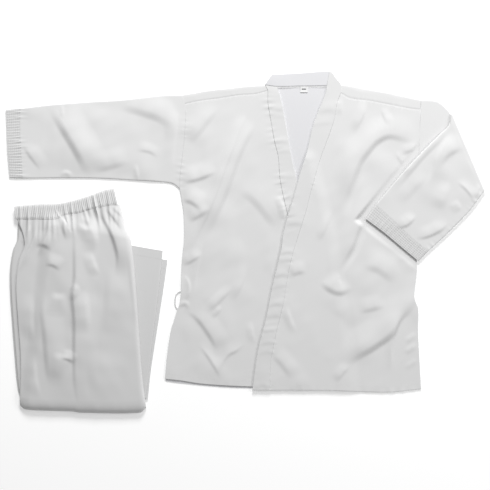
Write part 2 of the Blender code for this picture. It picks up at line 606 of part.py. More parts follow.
def add_lower_legs():
    """The two lower legs, folded under at the knee, whose hems and right edges show."""
    stations = even(7)
    across = np.array((0, 0.012, 0.25, 0.5, 0.75, 0.988, 1))
    for name, hem, left, right, rest in (
        ("lower_leg_far", FAR_LEG_HEM, FAR_LEG_LEFT, FAR_LEG_RIGHT, 0.0),
        ("lower_leg_near", NEAR_LEG_HEM, NEAR_LEG_LEFT, NEAR_LEG_RIGHT, LEG_TUBE + GAP),
    ):
        plan = patch(sampled((left[0], right[0]), across), sampled(hem, across),
                     sampled(left, stations), sampled(right, stations), across, stations)
        top = rest + LEG_TUBE + np.zeros(plan.shape[:2])
        add_tube(name, plan, top, rest + np.zeros(plan.shape[:2]), TROUSER_WHITE, wall=LEG_WALL)


def add_hidden_legs():
    """The hidden layers of both upper legs as one rounded solid, with the under leg's layers at its left edge."""
    across = np.concatenate([(0, 0.002, 0.012, 0.014, 0.03), np.linspace(0.07, 0.34, 7),
                             np.linspace(0.45, 0.97, 5), (0.99, 1)])
    up = np.concatenate([(0, 0.01, 0.03), np.linspace(0.12, 0.75, 8), np.linspace(0.79, 0.97, 7), (0.99, 1)])
    plan = patch(sampled(UNDER_BOTTOM, across), sampled(UNDER_TOP, across),
                 sampled(UNDER_LEFT, up), sampled(UNDER_RIGHT, up), across, up)
    shares = np.ones(len(across))
    shares[:5] = (0.05, 0.42, 0.5, 0.9, 1.0)
    shares[-2:] = (0.8, 0.3)
    ends = np.ones(len(up))
    ends[:3] = (0.3, 0.8, 0.95)
    ends[-2:] = (0.8, 0.3)
    rest = leg_floor(plan)
    bottom = rest + GAP * (rest > 0.01)
    thin = HIDDEN_LAYERS - LAYER_SLACK
    upper = with_height(plan, rest + 0.6 + (thin - 0.6) * shares * ends[:, None])
    add_sheet("leg_under", upper, with_height(plan, bottom), TROUSER_WHITE)


def normals_of(grid):
    """The unit normals of a grid of points, pointing up."""
    normal = np.cross(np.gradient(grid, axis=1), np.gradient(grid, axis=0))
    return normal / np.linalg.norm(normal, axis=-1)[..., None]


def add_upper_leg():
    """The leg that shows: its cloth rolls down to the lower leg on the right, and to the surface at the fold."""
    across = np.concatenate([np.linspace(0, 0.955, 18), (0.975, 0.99, 0.998, 1)])
    up = np.concatenate([(0, 0.004, 0.016, 0.034), np.linspace(0.055, 1, 20)])
    plan = patch(sampled(LEG_BOTTOM, across), sampled(LEG_TOP, across),
                 sampled(LEG_LEFT, up), sampled(LEG_RIGHT, up), across, up)
    full = under_top(plan) + GAP + LEG_WALL + fold_height(plan, TROUSER_FOLDS)
    low = leg_floor(plan) + GAP + LEG_WALL
    side = np.ones(len(across))
    side[-4:] = (0.92, 0.7, 0.35, 0.0)
    height = low + (full - low) * side
    end = np.ones(len(up))
    end[:4] = (0.0, 0.36, 0.72, 0.93)
    height = LEG_WALL + (height - LEG_WALL) * end[:, None]
    upper = with_height(plan, height)
    lower = upper - LEG_WALL * normals_of(upper)
    lower[..., 2] = np.maximum(lower[..., 2], 0.0)
    add_sheet("leg_upper", upper, lower, TROUSER_WHITE)


def add_waistband():
    """The gathered elastic waistband, raised in waves over a plain underside."""
    across = np.linspace(0, 1, 2 * WAIST_GATHERS + 1)
    up = np.array((0, 0.5, 0.93, 1))
    plan = patch(sampled(WAIST_BOTTOM, across), sampled(WAIST_TOP, across),
                 sampled((WAIST_BOTTOM[0], WAIST_TOP[0]), up), sampled((WAIST_BOTTOM[-1], WAIST_TOP[-1]), up),
                 across, up)
    rest = under_top(plan) + GAP
    rolled = np.array((1.0, 1.0, 0.7, 0.35))[:, None]
    waves = GATHER_HEIGHT * (np.arange(len(across)) % 2) * np.array((0.5, 1, 0.8, 0.3))[:, None]
    upper = with_height(plan, rest + WAIST_THICKNESS * rolled + waves)
    add_sheet("waistband", upper, with_height(plan, rest), TROUSER_WHITE)


def main():
    clear_scene()
    add_back()
    add_fronts()
    add_bands()
    add_collar()
    add_yokes()
    add_right_sleeve()
    add_left_sleeve()
    add_side_loop()
    add_label()
    add_lower_legs()
    add_hidden_legs()
    add_upper_leg()
    add_waistband()


main()
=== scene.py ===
"""A karate uniform laid flat: a wrap jacket with its left sleeve folded over, and its trousers.

Tables and sizes are in millimetres, +X is to the viewer's right, +Y towards the collar, and Z = 0 is the
surface that the cloth rests on. Each sub-assembly is a class that builds its own cloth and dresses it.
"""

import logging
from dataclasses import dataclass, field
from enum import Enum

import bmesh
import bpy
import numpy as np
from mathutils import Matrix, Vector


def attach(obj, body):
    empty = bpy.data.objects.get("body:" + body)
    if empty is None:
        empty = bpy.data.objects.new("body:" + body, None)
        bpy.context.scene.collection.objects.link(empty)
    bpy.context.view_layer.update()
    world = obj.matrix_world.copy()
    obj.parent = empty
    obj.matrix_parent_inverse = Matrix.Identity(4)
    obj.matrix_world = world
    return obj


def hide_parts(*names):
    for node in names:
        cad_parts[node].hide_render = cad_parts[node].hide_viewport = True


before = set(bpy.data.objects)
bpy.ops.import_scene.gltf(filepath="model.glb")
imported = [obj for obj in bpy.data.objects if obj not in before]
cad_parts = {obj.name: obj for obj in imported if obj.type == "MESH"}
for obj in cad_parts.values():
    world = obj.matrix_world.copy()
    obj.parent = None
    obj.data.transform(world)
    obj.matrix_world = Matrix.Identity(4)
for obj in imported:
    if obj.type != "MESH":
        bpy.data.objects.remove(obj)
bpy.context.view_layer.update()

log = logging.getLogger("karate_uniform")

MM = 0.001
Line = tuple[tuple[float, float], ...]


def smoothstep(value: np.ndarray) -> np.ndarray:
    """A soft passage from 0 to 1."""
    value = np.clip(value, 0.0, 1.0)
    return value * value * (3 - 2 * value)


def even(count: int) -> np.ndarray:
    """Evenly spaced fractions from 0 to 1."""
    return np.linspace(0.0, 1.0, count)


def edged(count: int, edge: float) -> np.ndarray:
    """Even fractions with closer ones at both ends, for a rounded edge.

    Args:
        count: how many even steps lie between the edges.
        edge: the fraction that the first close step takes.

    Returns:
        The fractions, an odd number of them where count is odd.
    """
    start = np.array((0.0, edge, 2.6 * edge))
    return np.concatenate([start, np.linspace(6 * edge, 1 - 6 * edge, count), 1 - start[::-1]])


def sampled(points: Line, fractions: np.ndarray) -> np.ndarray:
    """A smooth line through the points.

    Args:
        points: the points that the line passes through.
        fractions: where to read it, as fractions of its length.

    Returns:
        One point for each fraction.
    """
    knots = np.asarray(points, float)
    lengths = np.concatenate([[0.0], np.cumsum(np.hypot(*np.diff(knots, axis=0).T))])
    wide = np.concatenate([knots[:1], knots, knots[-1:]])
    reach = np.concatenate([lengths[:1], lengths, lengths[-1:]])
    slopes = (wide[2:] - wide[:-2]) / (reach[2:] - reach[:-2])[:, None]
    at = np.asarray(fractions) * lengths[-1]
    first = np.clip(np.searchsorted(lengths, at, side="right") - 1, 0, len(knots) - 2)
    span = (lengths[first + 1] - lengths[first])[:, None]
    t = (at - lengths[first])[:, None] / span
    return (
        (1 + 2 * t) * (1 - t) ** 2 * knots[first]
        + t * (1 - t) ** 2 * span * slopes[first]
        + t * t * (3 - 2 * t) * knots[first + 1]
        + t * t * (t - 1) * span * slopes[first + 1]
    )


def joined(*lines: np.ndarray) -> np.ndarray:
    """Sampled lines end to end, with each shared point kept once."""
    return np.concatenate([lines[0]] + [line[1:] for line in lines[1:]])


def patch(bottom: np.ndarray, top: np.ndarray, left: np.ndarray, right: np.ndarray,
          across: np.ndarray, up: np.ndarray) -> np.ndarray:
    """The plan of a panel between four sampled edges.

    Args:
        bottom: its lower edge, and top its upper one, read at across.
        top: its upper edge.
        left: its left edge, and right its right one, read at up.
        right: its right edge.
        across: the fractions across the panel.
        up: the fractions up the panel.

    Returns:
        Rows of points that run across, from the bottom edge to the top one.
    """
    u = np.asarray(across)[None, :, None]
    v = np.asarray(up)[:, None, None]
    corners = (1 - v) * ((1 - u) * bottom[0] + u * bottom[-1]) + v * ((1 - u) * top[0] + u * top[-1])
    return (1 - v) * bottom + v * top + (1 - u) * left[:, None] + u * right[:, None] - corners


def drawn_in(grid: np.ndarray, left: float = 0.0, right: float = 0.0, bottom: float = 0.0,
             top: float = 0.0) -> np.ndarray:
    """A plan with its edges moved in, for the clearance at its seams."""
    moved = grid.copy()
    edges = ((grid[:, 0], moved[:, 0], left, 1), (grid[:, -1], moved[:, -1], right, -1),
             (grid[0], moved[0], bottom, -1), (grid[-1], moved[-1], top, 1))
    for edge, target, amount, side in edges:
        along = np.gradient(edge, axis=0)
        along /= np.linalg.norm(along, axis=1)[:, None]
        target += side * amount * np.stack([along[:, 1], -along[:, 0]], axis=1)
    return moved


def with_height(plan: np.ndarray, height: np.ndarray | float) -> np.ndarray:
    """A plan's points raised to a height."""
    return np.concatenate([plan, np.broadcast_to(height, plan.shape[:-1])[..., None]], axis=-1)


def nearest(points: np.ndarray, line: np.ndarray) -> tuple[np.ndarray, np.ndarray]:
    """How far points lie from a line, and how far along it.

    Args:
        points: the points, one in each row.
        line: the line's points.

    Returns:
        The distance, positive to the left of the line's direction, and the share of its length.
    """
    best = np.full(len(points), np.inf)
    side = np.ones(len(points))
    share = np.zeros(len(points))
    for step, (start, end) in enumerate(zip(line[:-1], line[1:])):
        run = end - start
        off = points - start
        t = np.clip((off @ run) / (run @ run), 0, 1)
        away = np.hypot(*(off - t[:, None] * run).T)
        closer = away < best
        share = np.where(closer, (step + t) / (len(line) - 1), share)
        side = np.where(closer, np.sign(run[0] * off[:, 1] - run[1] * off[:, 0]), side)
        best = np.where(closer, away, best)
    return best * side, share


class Crest(Enum):
    """How a fold's section meets its crest."""

    SOFT = "soft"
    PINCHED = "pinched"


@dataclass(frozen=True)
class Fold:
    """A soft ridge, or a trough where its height is below 0."""

    crest: Line
    reach: float
    height: float
    lean: float = 0.0
    form: Crest = Crest.SOFT

    def lift(self, plan: np.ndarray) -> np.ndarray:
        """How far the fold lifts the cloth over each point of a plan."""
        crest = sampled(self.crest, even(4 * len(self.crest)))
        wide = self.reach * (1 + abs(self.lean))
        near = np.all((plan > crest.min(0) - wide) & (plan < crest.max(0) + wide), axis=-1)
        height = np.zeros(plan.shape[:-1])
        away, share = nearest(plan[near], crest)
        t = np.clip(np.abs(away) / (self.reach * (1 - self.lean * np.sign(away))), 0, 1)
        section = (1 - t * t) ** 2 if self.form is Crest.SOFT else (1 - t) ** 2 * (1 + 0.6 * t)
        ends = smoothstep(2.5 * share) * smoothstep(2.5 * (1 - share))
        height[near] = self.height * section * ends
        return height


@dataclass(frozen=True)
class Ripple:
    """Small uneven waves over a whole cloth."""

    height: float
    length: float
    heading: float
    spread: float
    seed: int

    def lift(self, plan: np.ndarray) -> np.ndarray:
        """The sum of a few waves whose lengths and headings differ."""
        chance = np.random.default_rng(self.seed)
        total = np.zeros(plan.shape[:-1])
        count = 16
        for _ in range(count):
            turn = np.radians(self.heading + self.spread * chance.uniform(-1, 1))
            size = 2 * np.pi / (self.length * chance.uniform(0.6, 1.7))
            phase = (plan[..., 0] * np.cos(turn) + plan[..., 1] * np.sin(turn)) * size
            total += np.sin(phase + chance.uniform(0, 2 * np.pi))
        return self.height * total / np.sqrt(count / 2)


@dataclass(frozen=True)
class Pucker:
    """The short uneven gathers beside a sewn line."""

    line: Line
    reach: float
    height: float
    pitch: float
    seed: int

    def lift(self, plan: np.ndarray) -> np.ndarray:
        """How far the gathers lift the cloth: most at the seam, and nothing at their reach."""
        line = sampled(self.line, even(5 * len(self.line)))
        length = float(np.hypot(*np.diff(line, axis=0).T).sum())
        near = np.all((plan > line.min(0) - self.reach) & (plan < line.max(0) + self.reach), axis=-1)
        height = np.zeros(plan.shape[:-1])
        away, share = nearest(plan[near], line)
        chance = np.random.default_rng(self.seed)
        wave = np.zeros(len(share))
        for _ in range(7):
            count = length / (self.pitch * chance.uniform(0.7, 1.8))
            wave += np.sin(2 * np.pi * count * share + chance.uniform(0, 2 * np.pi)
                           + 0.02 * chance.uniform(-1, 1) * away)
        fade = np.clip(1 - np.abs(away) / self.reach, 0, 1) ** 1.5
        height[near] = self.height * fade * wave / 1.9
        return height


@dataclass(frozen=True)
class Relief:
    """Everything that lifts one cloth off what it lies on."""

    parts: tuple[Fold | Ripple | Pucker, ...]
    amount: float = 1.0
    softness: float = 0.7

    def lift(self, plan: np.ndarray) -> np.ndarray:
        """The lift over each point, never below what the cloth lies on."""
        total = self.amount * sum(part.lift(plan) for part in self.parts)
        return (total + np.sqrt(total * total + self.softness ** 2)) / 2


@dataclass(frozen=True)
class Cotton:
    """A plain woven white cotton: its colour, weave and nap."""

    name: str
    slot: str
    colour: tuple[float, float, float]
    yarn: float = 0.8
    relief: float = 0.1
    roughness: float = 0.82
    sheen: float = 0.12
    mottle: float = 0.03

    def material(self) -> bpy.types.Material:
        """The cloth's material, made once.

        Returns:
            A material whose weave follows the piece's own UV map, one metre to a unit.
        """
        made = bpy.data.materials.get(self.name)
        if made:
            return made
        made = bpy.data.materials.new(self.name)
        made.use_nodes = True
        nodes, links = made.node_tree.nodes, made.node_tree.links
        shader = nodes["Principled BSDF"]
        shader.inputs["Roughness"].default_value = self.roughness
        shader.inputs["Sheen Weight"].default_value = self.sheen
        shader.inputs["Sheen Roughness"].default_value = 0.5
        shader.inputs["Specular IOR Level"].default_value = 0.2
        place = nodes.new("ShaderNodeUVMap")
        place.uv_map = "weave"
        yarns = []
        for direction in ("X", "Y"):
            wave = nodes.new("ShaderNodeTexWave")
            wave.wave_type = "BANDS"
            wave.bands_direction = direction
            wave.inputs["Scale"].default_value = 0.314 / (self.yarn * MM)
            wave.inputs["Distortion"].default_value = 1.2
            wave.inputs["Detail"].default_value = 1.0
            wave.inputs["Detail Scale"].default_value = 0.4
            links.new(place.outputs["UV"], wave.inputs["Vector"])
            yarns.append(wave)
        weave = nodes.new("ShaderNodeMath")
        weave.operation = "MAXIMUM"
        links.new(yarns[0].outputs["Fac"], weave.inputs[0])
        links.new(yarns[1].outputs["Fac"], weave.inputs[1])
        slub = nodes.new("ShaderNodeTexNoise")
        slub.inputs["Scale"].default_value = 120.0
        slub.inputs["Detail"].default_value = 5.0
        links.new(place.outputs["UV"], slub.inputs["Vector"])
        height = nodes.new("ShaderNodeMath")
        height.operation = "MULTIPLY_ADD"
        height.inputs[1].default_value = 0.6
        links.new(weave.outputs[0], height.inputs[0])
        links.new(slub.outputs["Fac"], height.inputs[2])
        bump = nodes.new("ShaderNodeBump")
        bump.inputs["Strength"].default_value = 0.35
        bump.inputs["Distance"].default_value = self.relief * MM
        links.new(height.outputs[0], bump.inputs["Height"])
        links.new(bump.outputs["Normal"], shader.inputs["Normal"])
        patches = nodes.new("ShaderNodeTexNoise")
        patches.inputs["Scale"].default_value = 9.0
        patches.inputs["Detail"].default_value = 4.0
        links.new(place.outputs["UV"], patches.inputs["Vector"])
        tone = nodes.new("ShaderNodeMix")
        tone.data_type = "RGBA"
        dim = tuple(channel * (1 - self.mottle) for channel in self.colour)
        tone.inputs[6].default_value = (*dim, 1.0)
        tone.inputs[7].default_value = (*self.colour, 1.0)
        links.new(patches.outputs["Fac"], tone.inputs[0])
        links.new(tone.outputs[2], shader.inputs["Base Color"])
        return made


@dataclass(frozen=True)
class Thread:
    """Sewing thread: its colour and the sizes of a stitch."""

    name: str = "white_thread"
    colour: tuple[float, float, float] = (0.80, 0.80, 0.79)
    length: float = 2.4
    pitch: float = 3.4
    width: float = 0.4

    def material(self) -> bpy.types.Material:
        """The thread's material, with a fine twist along it."""
        made = bpy.data.materials.get(self.name)
        if made:
            return made
        made = bpy.data.materials.new(self.name)
        made.use_nodes = True
        nodes, links = made.node_tree.nodes, made.node_tree.links
        shader = nodes["Principled BSDF"]
        shader.inputs["Base Color"].default_value = (*self.colour, 1.0)
        shader.inputs["Roughness"].default_value = 0.6
        place = nodes.new("ShaderNodeTexCoord")
        twist = nodes.new("ShaderNodeTexWave")
        twist.bands_direction = "DIAGONAL"
        twist.inputs["Scale"].default_value = 900.0
        bump = nodes.new("ShaderNodeBump")
        bump.inputs["Strength"].default_value = 0.3
        bump.inputs["Distance"].default_value = 0.0001
        links.new(place.outputs["Object"], twist.inputs["Vector"])
        links.new(twist.outputs["Fac"], bump.inputs["Height"])
        links.new(bump.outputs["Normal"], shader.inputs["Normal"])
        return made


OUTSIDE = Cotton("white_cotton", "white_cotton", (0.70, 0.70, 0.70))
INSIDE = Cotton("inside_cotton", "inside_cotton", (0.70, 0.70, 0.72), yarn=0.8, sheen=0.05)
BAND = Cotton("band_cotton", "band_cotton", (0.70, 0.70, 0.70), yarn=0.9)
CUFF = Cotton("cuff_cotton", "cuff_cotton", (0.66, 0.66, 0.665), relief=0.15)
TAPE = Cotton("tape", "tape", (0.72, 0.72, 0.72), yarn=0.6)
LABEL = Cotton("label_cloth", "label_cloth", (0.86, 0.86, 0.86), yarn=0.4, sheen=0.25, mottle=0.01)
LABEL_BAR = Cotton("label_bar", "label_cloth", (0.10, 0.10, 0.11), yarn=0.4, sheen=0.0)
TROUSER = Cotton("trouser_cotton", "trouser_cotton", (0.68, 0.68, 0.68))
WAIST = Cotton("waist_cotton", "waist_cotton", (0.66, 0.66, 0.66), relief=0.15)
THREAD = Thread()


def grid_faces(rows: int, columns: int, start: int, closed: bool = False) -> list[tuple[int, ...]]:
    """Four-sided faces over a grid of points, joined round to its first column where it is closed."""
    faces = []
    for row in range(rows - 1):
        for column in range(columns if closed else columns - 1):
            after = (column + 1) % columns
            low = start + row * columns
            high = low + columns
            faces.append((low + column, low + after, high + after, high + column))
    return faces


def cloth_object(name: str, points: np.ndarray, faces: list[tuple[int, ...]], uv: np.ndarray,
                 finish: Cotton, columns: dict[str, np.ndarray] | None = None) -> bpy.types.Object:
    """One closed cloth with its faces pointing out, its weave's UV map and its finish.

    Args:
        name: the piece's name.
        points: its points in millimetres.
        faces: its faces.
        uv: a weave coordinate in millimetres for each point.
        finish: the cotton that it is cut from.
        columns: number attributes on its points, by name.

    Returns:
        The piece.
    """
    mesh = bpy.data.meshes.new(name)
    mesh.from_pydata([tuple(point) for point in np.asarray(points) * MM], [], faces)
    surface = bmesh.new()
    surface.from_mesh(mesh)
    bmesh.ops.recalc_face_normals(surface, faces=surface.faces)
    surface.to_mesh(mesh)
    surface.free()
    weave = mesh.uv_layers.new(name="weave")
    corners = np.empty(len(mesh.loops), int)
    mesh.loops.foreach_get("vertex_index", corners)
    weave.uv.foreach_set("vector", (np.asarray(uv)[corners] * MM).ravel())
    for label, values in (columns or {}).items():
        mesh.attributes.new(label, "FLOAT", "POINT").data.foreach_set("value", np.asarray(values, float).ravel())
    mesh.shade_smooth()
    mesh.set_sharp_from_angle(angle=np.radians(60))
    mesh.materials.append(finish.material())
    made = bpy.data.objects.new(name, mesh)
    bpy.context.scene.collection.objects.link(made)
    return made


def sheet_shell(name: str, upper: np.ndarray, lower: np.ndarray, finish: Cotton, step: int = 1,
                columns: dict[str, np.ndarray] | None = None) -> bpy.types.Object:
    """A wall of cloth between an upper and a lower surface, closed along its edges.

    Args:
        name: the piece's name.
        upper: the grid of its upper surface.
        lower: the grid of its lower one.
        finish: the cotton that it is cut from.
        step: how many steps of the upper grid one step of the lower takes.
        columns: number attributes over the upper grid, by name, 0 below.

    Returns:
        The piece.
    """
    rows, across = upper.shape[:2]
    under = lower[::step, ::step]
    low_rows, low_across = under.shape[:2]

    def rim(high: int, wide: int, start: int) -> list[int]:
        """The points round a grid's edge, in order."""
        last = high * wide
        return [start + point for point in (
            list(range(wide)) + [row * wide + wide - 1 for row in range(1, high)]
            + [last - 1 - column for column in range(1, wide)] + [row * wide for row in range(high - 2, 0, -1)])]

    offset = rows * across
    top_rim, low_rim = rim(rows, across, 0), rim(low_rows, low_across, offset)
    faces = grid_faces(rows, across, 0)
    faces += [tuple(reversed(face)) for face in grid_faces(low_rows, low_across, offset)]
    for place, here in enumerate(top_rim):
        after = top_rim[(place + 1) % len(top_rim)]
        low = low_rim[place // step]
        if place % step == step - 1:
            faces.append((after, here, low, low_rim[(place // step + 1) % len(low_rim)]))
        else:
            faces.append((after, here, low))
    run = np.linalg.norm(np.diff(upper[..., :2], axis=1), axis=-1).mean(axis=0)
    rise = np.linalg.norm(np.diff(upper[..., :2], axis=0), axis=-1).mean(axis=1)
    u, v = np.concatenate([[0], np.cumsum(run)]), np.concatenate([[0], np.cumsum(rise)])
    uv = np.stack(np.meshgrid(u, v), axis=-1)
    points = np.concatenate([upper.reshape(-1, 3), under.reshape(-1, 3)])
    both = np.concatenate([uv.reshape(-1, 2), uv[::step, ::step].reshape(-1, 2)])
    values = {label: np.concatenate([given.ravel(), np.zeros(len(points) - offset)])
              for label, given in (columns or {}).items()}
    return cloth_object(name, points, faces, both, finish, values)


def soft_edges(upper: np.ndarray, lower: np.ndarray, wall: float) -> None:
    """Round a wall's upper edges down to its lower surface, in place."""
    for edge in ((0, slice(None)), (-1, slice(None)), (slice(None), 0), (slice(None), -1)):
        upper[edge][..., 2] -= 0.3 * wall * (upper[edge][..., 2] - lower[edge][..., 2] > 0.8 * wall)


def rolled(across: np.ndarray, roll: float) -> np.ndarray:
    """Shares of full height across a flattened tube that turns round at both its edges."""
    near = np.clip(np.minimum(across, 1 - across) / roll, 0, 1)
    return np.sqrt(1 - (1 - near) ** 2)


@dataclass(frozen=True)
class Tube:
    """A flattened sleeve or leg, open at both ends, as its outer and inner wall."""

    name: str
    plan: np.ndarray
    top: np.ndarray
    bottom: np.ndarray
    across: np.ndarray
    finish: Cotton
    wall: float = 1.2
    roll: float = 0.012
    thinned: int = 1

    def _ring(self, top: np.ndarray, bottom: np.ndarray, inset: float) -> np.ndarray:
        """Closed rings: over the top from edge to edge, and back along the underside."""
        middle = (self.top.min() + self.bottom.max()) / 2
        share = rolled(self.across, self.roll)
        plan = self.plan.copy()
        turned = (self.across < self.roll) | (self.across > 1 - self.roll)
        centre = plan.mean(axis=1, keepdims=True)
        towards = centre - plan
        towards /= np.linalg.norm(towards, axis=-1)[..., None]
        plan[:, turned] += inset * towards[:, turned]
        over = with_height(plan, middle + (top - middle) * share)
        keep = list(range(len(self.across) - 2, 0, -self.thinned))
        under = with_height(plan, middle + (bottom - middle) * share)[:, keep]
        return np.concatenate([over, under], axis=1)

    def build(self, shape: "ElbowTurn | None" = None) -> bpy.types.Object:
        """The tube's cloth.

        Args:
            shape: a turn that its rings go through, where it has one.

        Returns:
            The piece.
        """
        outer = self._ring(self.top, self.bottom, 0.0)
        inner = self._ring(self.top - self.wall, self.bottom + self.wall, self.wall)
        if shape is not None:
            outer, inner = shape.turned(outer), shape.turned(inner)
        rows, around = outer.shape[:2]
        offset = rows * around
        faces = grid_faces(rows, around, 0, closed=True)
        faces += [tuple(reversed(face)) for face in grid_faces(rows, around, offset, closed=True)]
        last = (rows - 1) * around
        for column in range(around):
            after = (column + 1) % around
            faces.append((after, column, offset + column, offset + after))
            faces.append((last + column, last + after, offset + last + after, offset + last + column))
        middle = self.plan[:, len(self.across) // 2]
        along = np.concatenate([[0], np.cumsum(np.hypot(*np.diff(middle, axis=0).T))])
        width = float(np.hypot(*(self.plan[0, -1] - self.plan[0, 0])))
        keep = self.across[list(range(len(self.across) - 2, 0, -self.thinned))]
        round_share = np.concatenate([self.across, 2 - keep])
        uv = np.stack(np.meshgrid(round_share * width, along), axis=-1)
        points = np.concatenate([outer.reshape(-1, 3), inner.reshape(-1, 3)])
        both = np.concatenate([uv.reshape(-1, 2), uv.reshape(-1, 2)])
        return cloth_object(self.name, points, faces, both, self.finish)


def lay(piece: bpy.types.Object, node: str, flat: tuple[float, float]) -> None:
    """Hide the solid that a cloth replaces, hang the cloth on the root and log the size it is cut to."""
    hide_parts(node)
    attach(piece, "root")
    log.info("laid %s: %d faces, cut %.0f x %.0f mm", piece.name, len(piece.data.polygons), *flat)


@dataclass(frozen=True)
class Jacket:
    """The outlines and heights that the jacket's sub-assemblies share."""

    wall: float = 1.2
    band: float = 2.1
    gap: float = 0.06
    tube: float = 3.0
    rest: float = 1.5
    overlap_rise: float = 2.7
    side_share: float = 0.69
    clearance: float = 12.0
    shoulder_right: Line = ((-164.5, 383), (-118, 391), (-92, 395), (-14, 404), (51, 409))
    shoulder_left: Line = ((249, 410), (272, 407), (324, 397), (376, 388), (402, 382), (457, 370))
    side_right: Line = ((-209, -355), (-202, -285), (-193, -228), (-185, -202), (-177, -176), (-171, -160),
                        (-167, -124), (-166, -72), (-162, -20), (-159, 6), (-159, 45), (-161, 84), (-165, 110),
                        (-170, 138))
    armhole_right: Line = ((-170, 138), (-170, 167), (-165, 214), (-159, 266), (-155, 331), (-157, 360))
    seam_right: Line = ((-157, 360), (-118, 368), (-66, 375), (-14, 383), (28, 386), (59, 395))
    hem_right: Line = ((-209, -355), (-170, -359), (-118, -367), (-53, -372), (18, -375), (184, -381))
    band_seam_right: Line = ((184, -381), (155, -180), (122, 20), (111, 69), (98, 123), (90, 167), (85, 227),
                             (77, 258), (64, 331), (59, 362), (59, 395))
    band_edge_right: Line = ((230, -382), (200, -180), (165, 40), (150, 100), (132, 170), (119, 227), (108, 292),
                             (101, 331), (93, 370), (82, 405))
    side_left: Line = ((457, -381), (454, -332), (449, -228), (449, -171), (441, -150), (439, -132), (446, -72),
                       (445, -20), (444, 100), (452, 136))
    armhole_left: Line = ((452, 136), (450, 190), (452, 253), (454, 305), (454, 345))
    seam_left: Line = ((249, 388), (272, 375), (324, 368), (376, 358), (428, 348), (454, 345))
    hem_left: Line = ((64, -384), (142, -384), (246, -385), (304, -388), (376, -389), (457, -381))
    band_seam_left: Line = ((64, -384), (67, -306), (82, -228), (98, -163), (116, -59), (134, 6), (155, 71),
                            (173, 141), (194, 214), (218, 279), (231, 318), (241, 370), (249, 388))
    band_edge_left: Line = ((18, -384), (33, -280), (54, -197), (70, -116), (93, -20), (98, 19), (111, 69),
                            (127, 121), (142, 178), (158, 227), (173, 292), (184, 326), (207, 383), (212, 405))
    elbow_bottom: tuple[float, float] = (619, 132)
    elbow_top: tuple[float, float] = (534, 333)
    cuff_left_end: Line = ((450, -49), (403, -10), (360, 26), (313, 61))

    def edge_at(self, line: Line, up: np.ndarray) -> np.ndarray:
        """Where a line that runs up the jacket crosses each height."""
        points = np.asarray(line, float)
        return np.interp(up, points[:, 1], points[:, 0])

    def raised(self, plan: np.ndarray) -> np.ndarray:
        """How much higher the left front lies where the right one's band is under it."""
        beside = smoothstep((self.edge_at(self.band_edge_right, plan[..., 1]) + 76 - plan[..., 0]) / 40)
        return self.overlap_rise * beside * smoothstep((248 - plan[..., 1]) / 50)

    def clear_of_forearm(self, plan: np.ndarray) -> np.ndarray:
        """From 0 under the folded forearm to 1 beside it."""
        corners = np.asarray((self.elbow_bottom, self.elbow_top, self.cuff_left_end[-1], self.cuff_left_end[0]), float)
        outside = np.full(plan.shape[:-1], -np.inf)
        for start, end in zip(corners, np.roll(corners, -1, axis=0)):
            along = (end - start) / np.linalg.norm(end - start)
            outside = np.maximum(outside, (plan - start) @ np.array((-along[1], along[0])) * -1)
        return smoothstep((outside - self.clearance) / self.clearance)

    def clear_of_left_front(self, plan: np.ndarray) -> np.ndarray:
        """From 0 under the left front to 1 beside it."""
        return smoothstep((self.edge_at(self.band_edge_left, plan[..., 1]) - plan[..., 0]) / self.clearance)

    def lapel_creases(self) -> tuple[Fold, ...]:
        """The short creases across the two bands, where the doubled cloth has buckled."""
        left = ((-372, 8, 1.0), (-285, 12, 1.6), (-262, 8, 1.2), (-228, 9, 2.0), (-212, 8, 1.6), (-190, 14, 2.6),
                (-160, 9, 1.4), (-112, 12, 1.4), (-84, 10, 1.6), (-46, 9, 1.4), (-26, 8, 1.6), (20, 10, 1.2),
                (48, 9, 1.2), (215, 14, 1.2), (310, 12, 1.4), (345, 14, 1.6))
        right = ((345, 9, 1.4), (326, 8, 1.2), (262, 9, 1.6), (236, 8, 1.0), (170, 10, 1.2), (120, 8, 1.6))
        creases = []
        for rows, outer, inner in ((left, self.band_edge_left, self.band_seam_left),
                                   (right, self.band_seam_right, self.band_edge_right)):
            for y, reach, height in rows:
                start, end = float(self.edge_at(outer, y)), float(self.edge_at(inner, y))
                creases.append(Fold(((start - 12, y - 6), ((start + end) / 2, y + 2), (end + 12, y)),
                                    1.3 * reach, 0.7 * height, -0.3))
        return tuple(creases)


JACKET = Jacket()

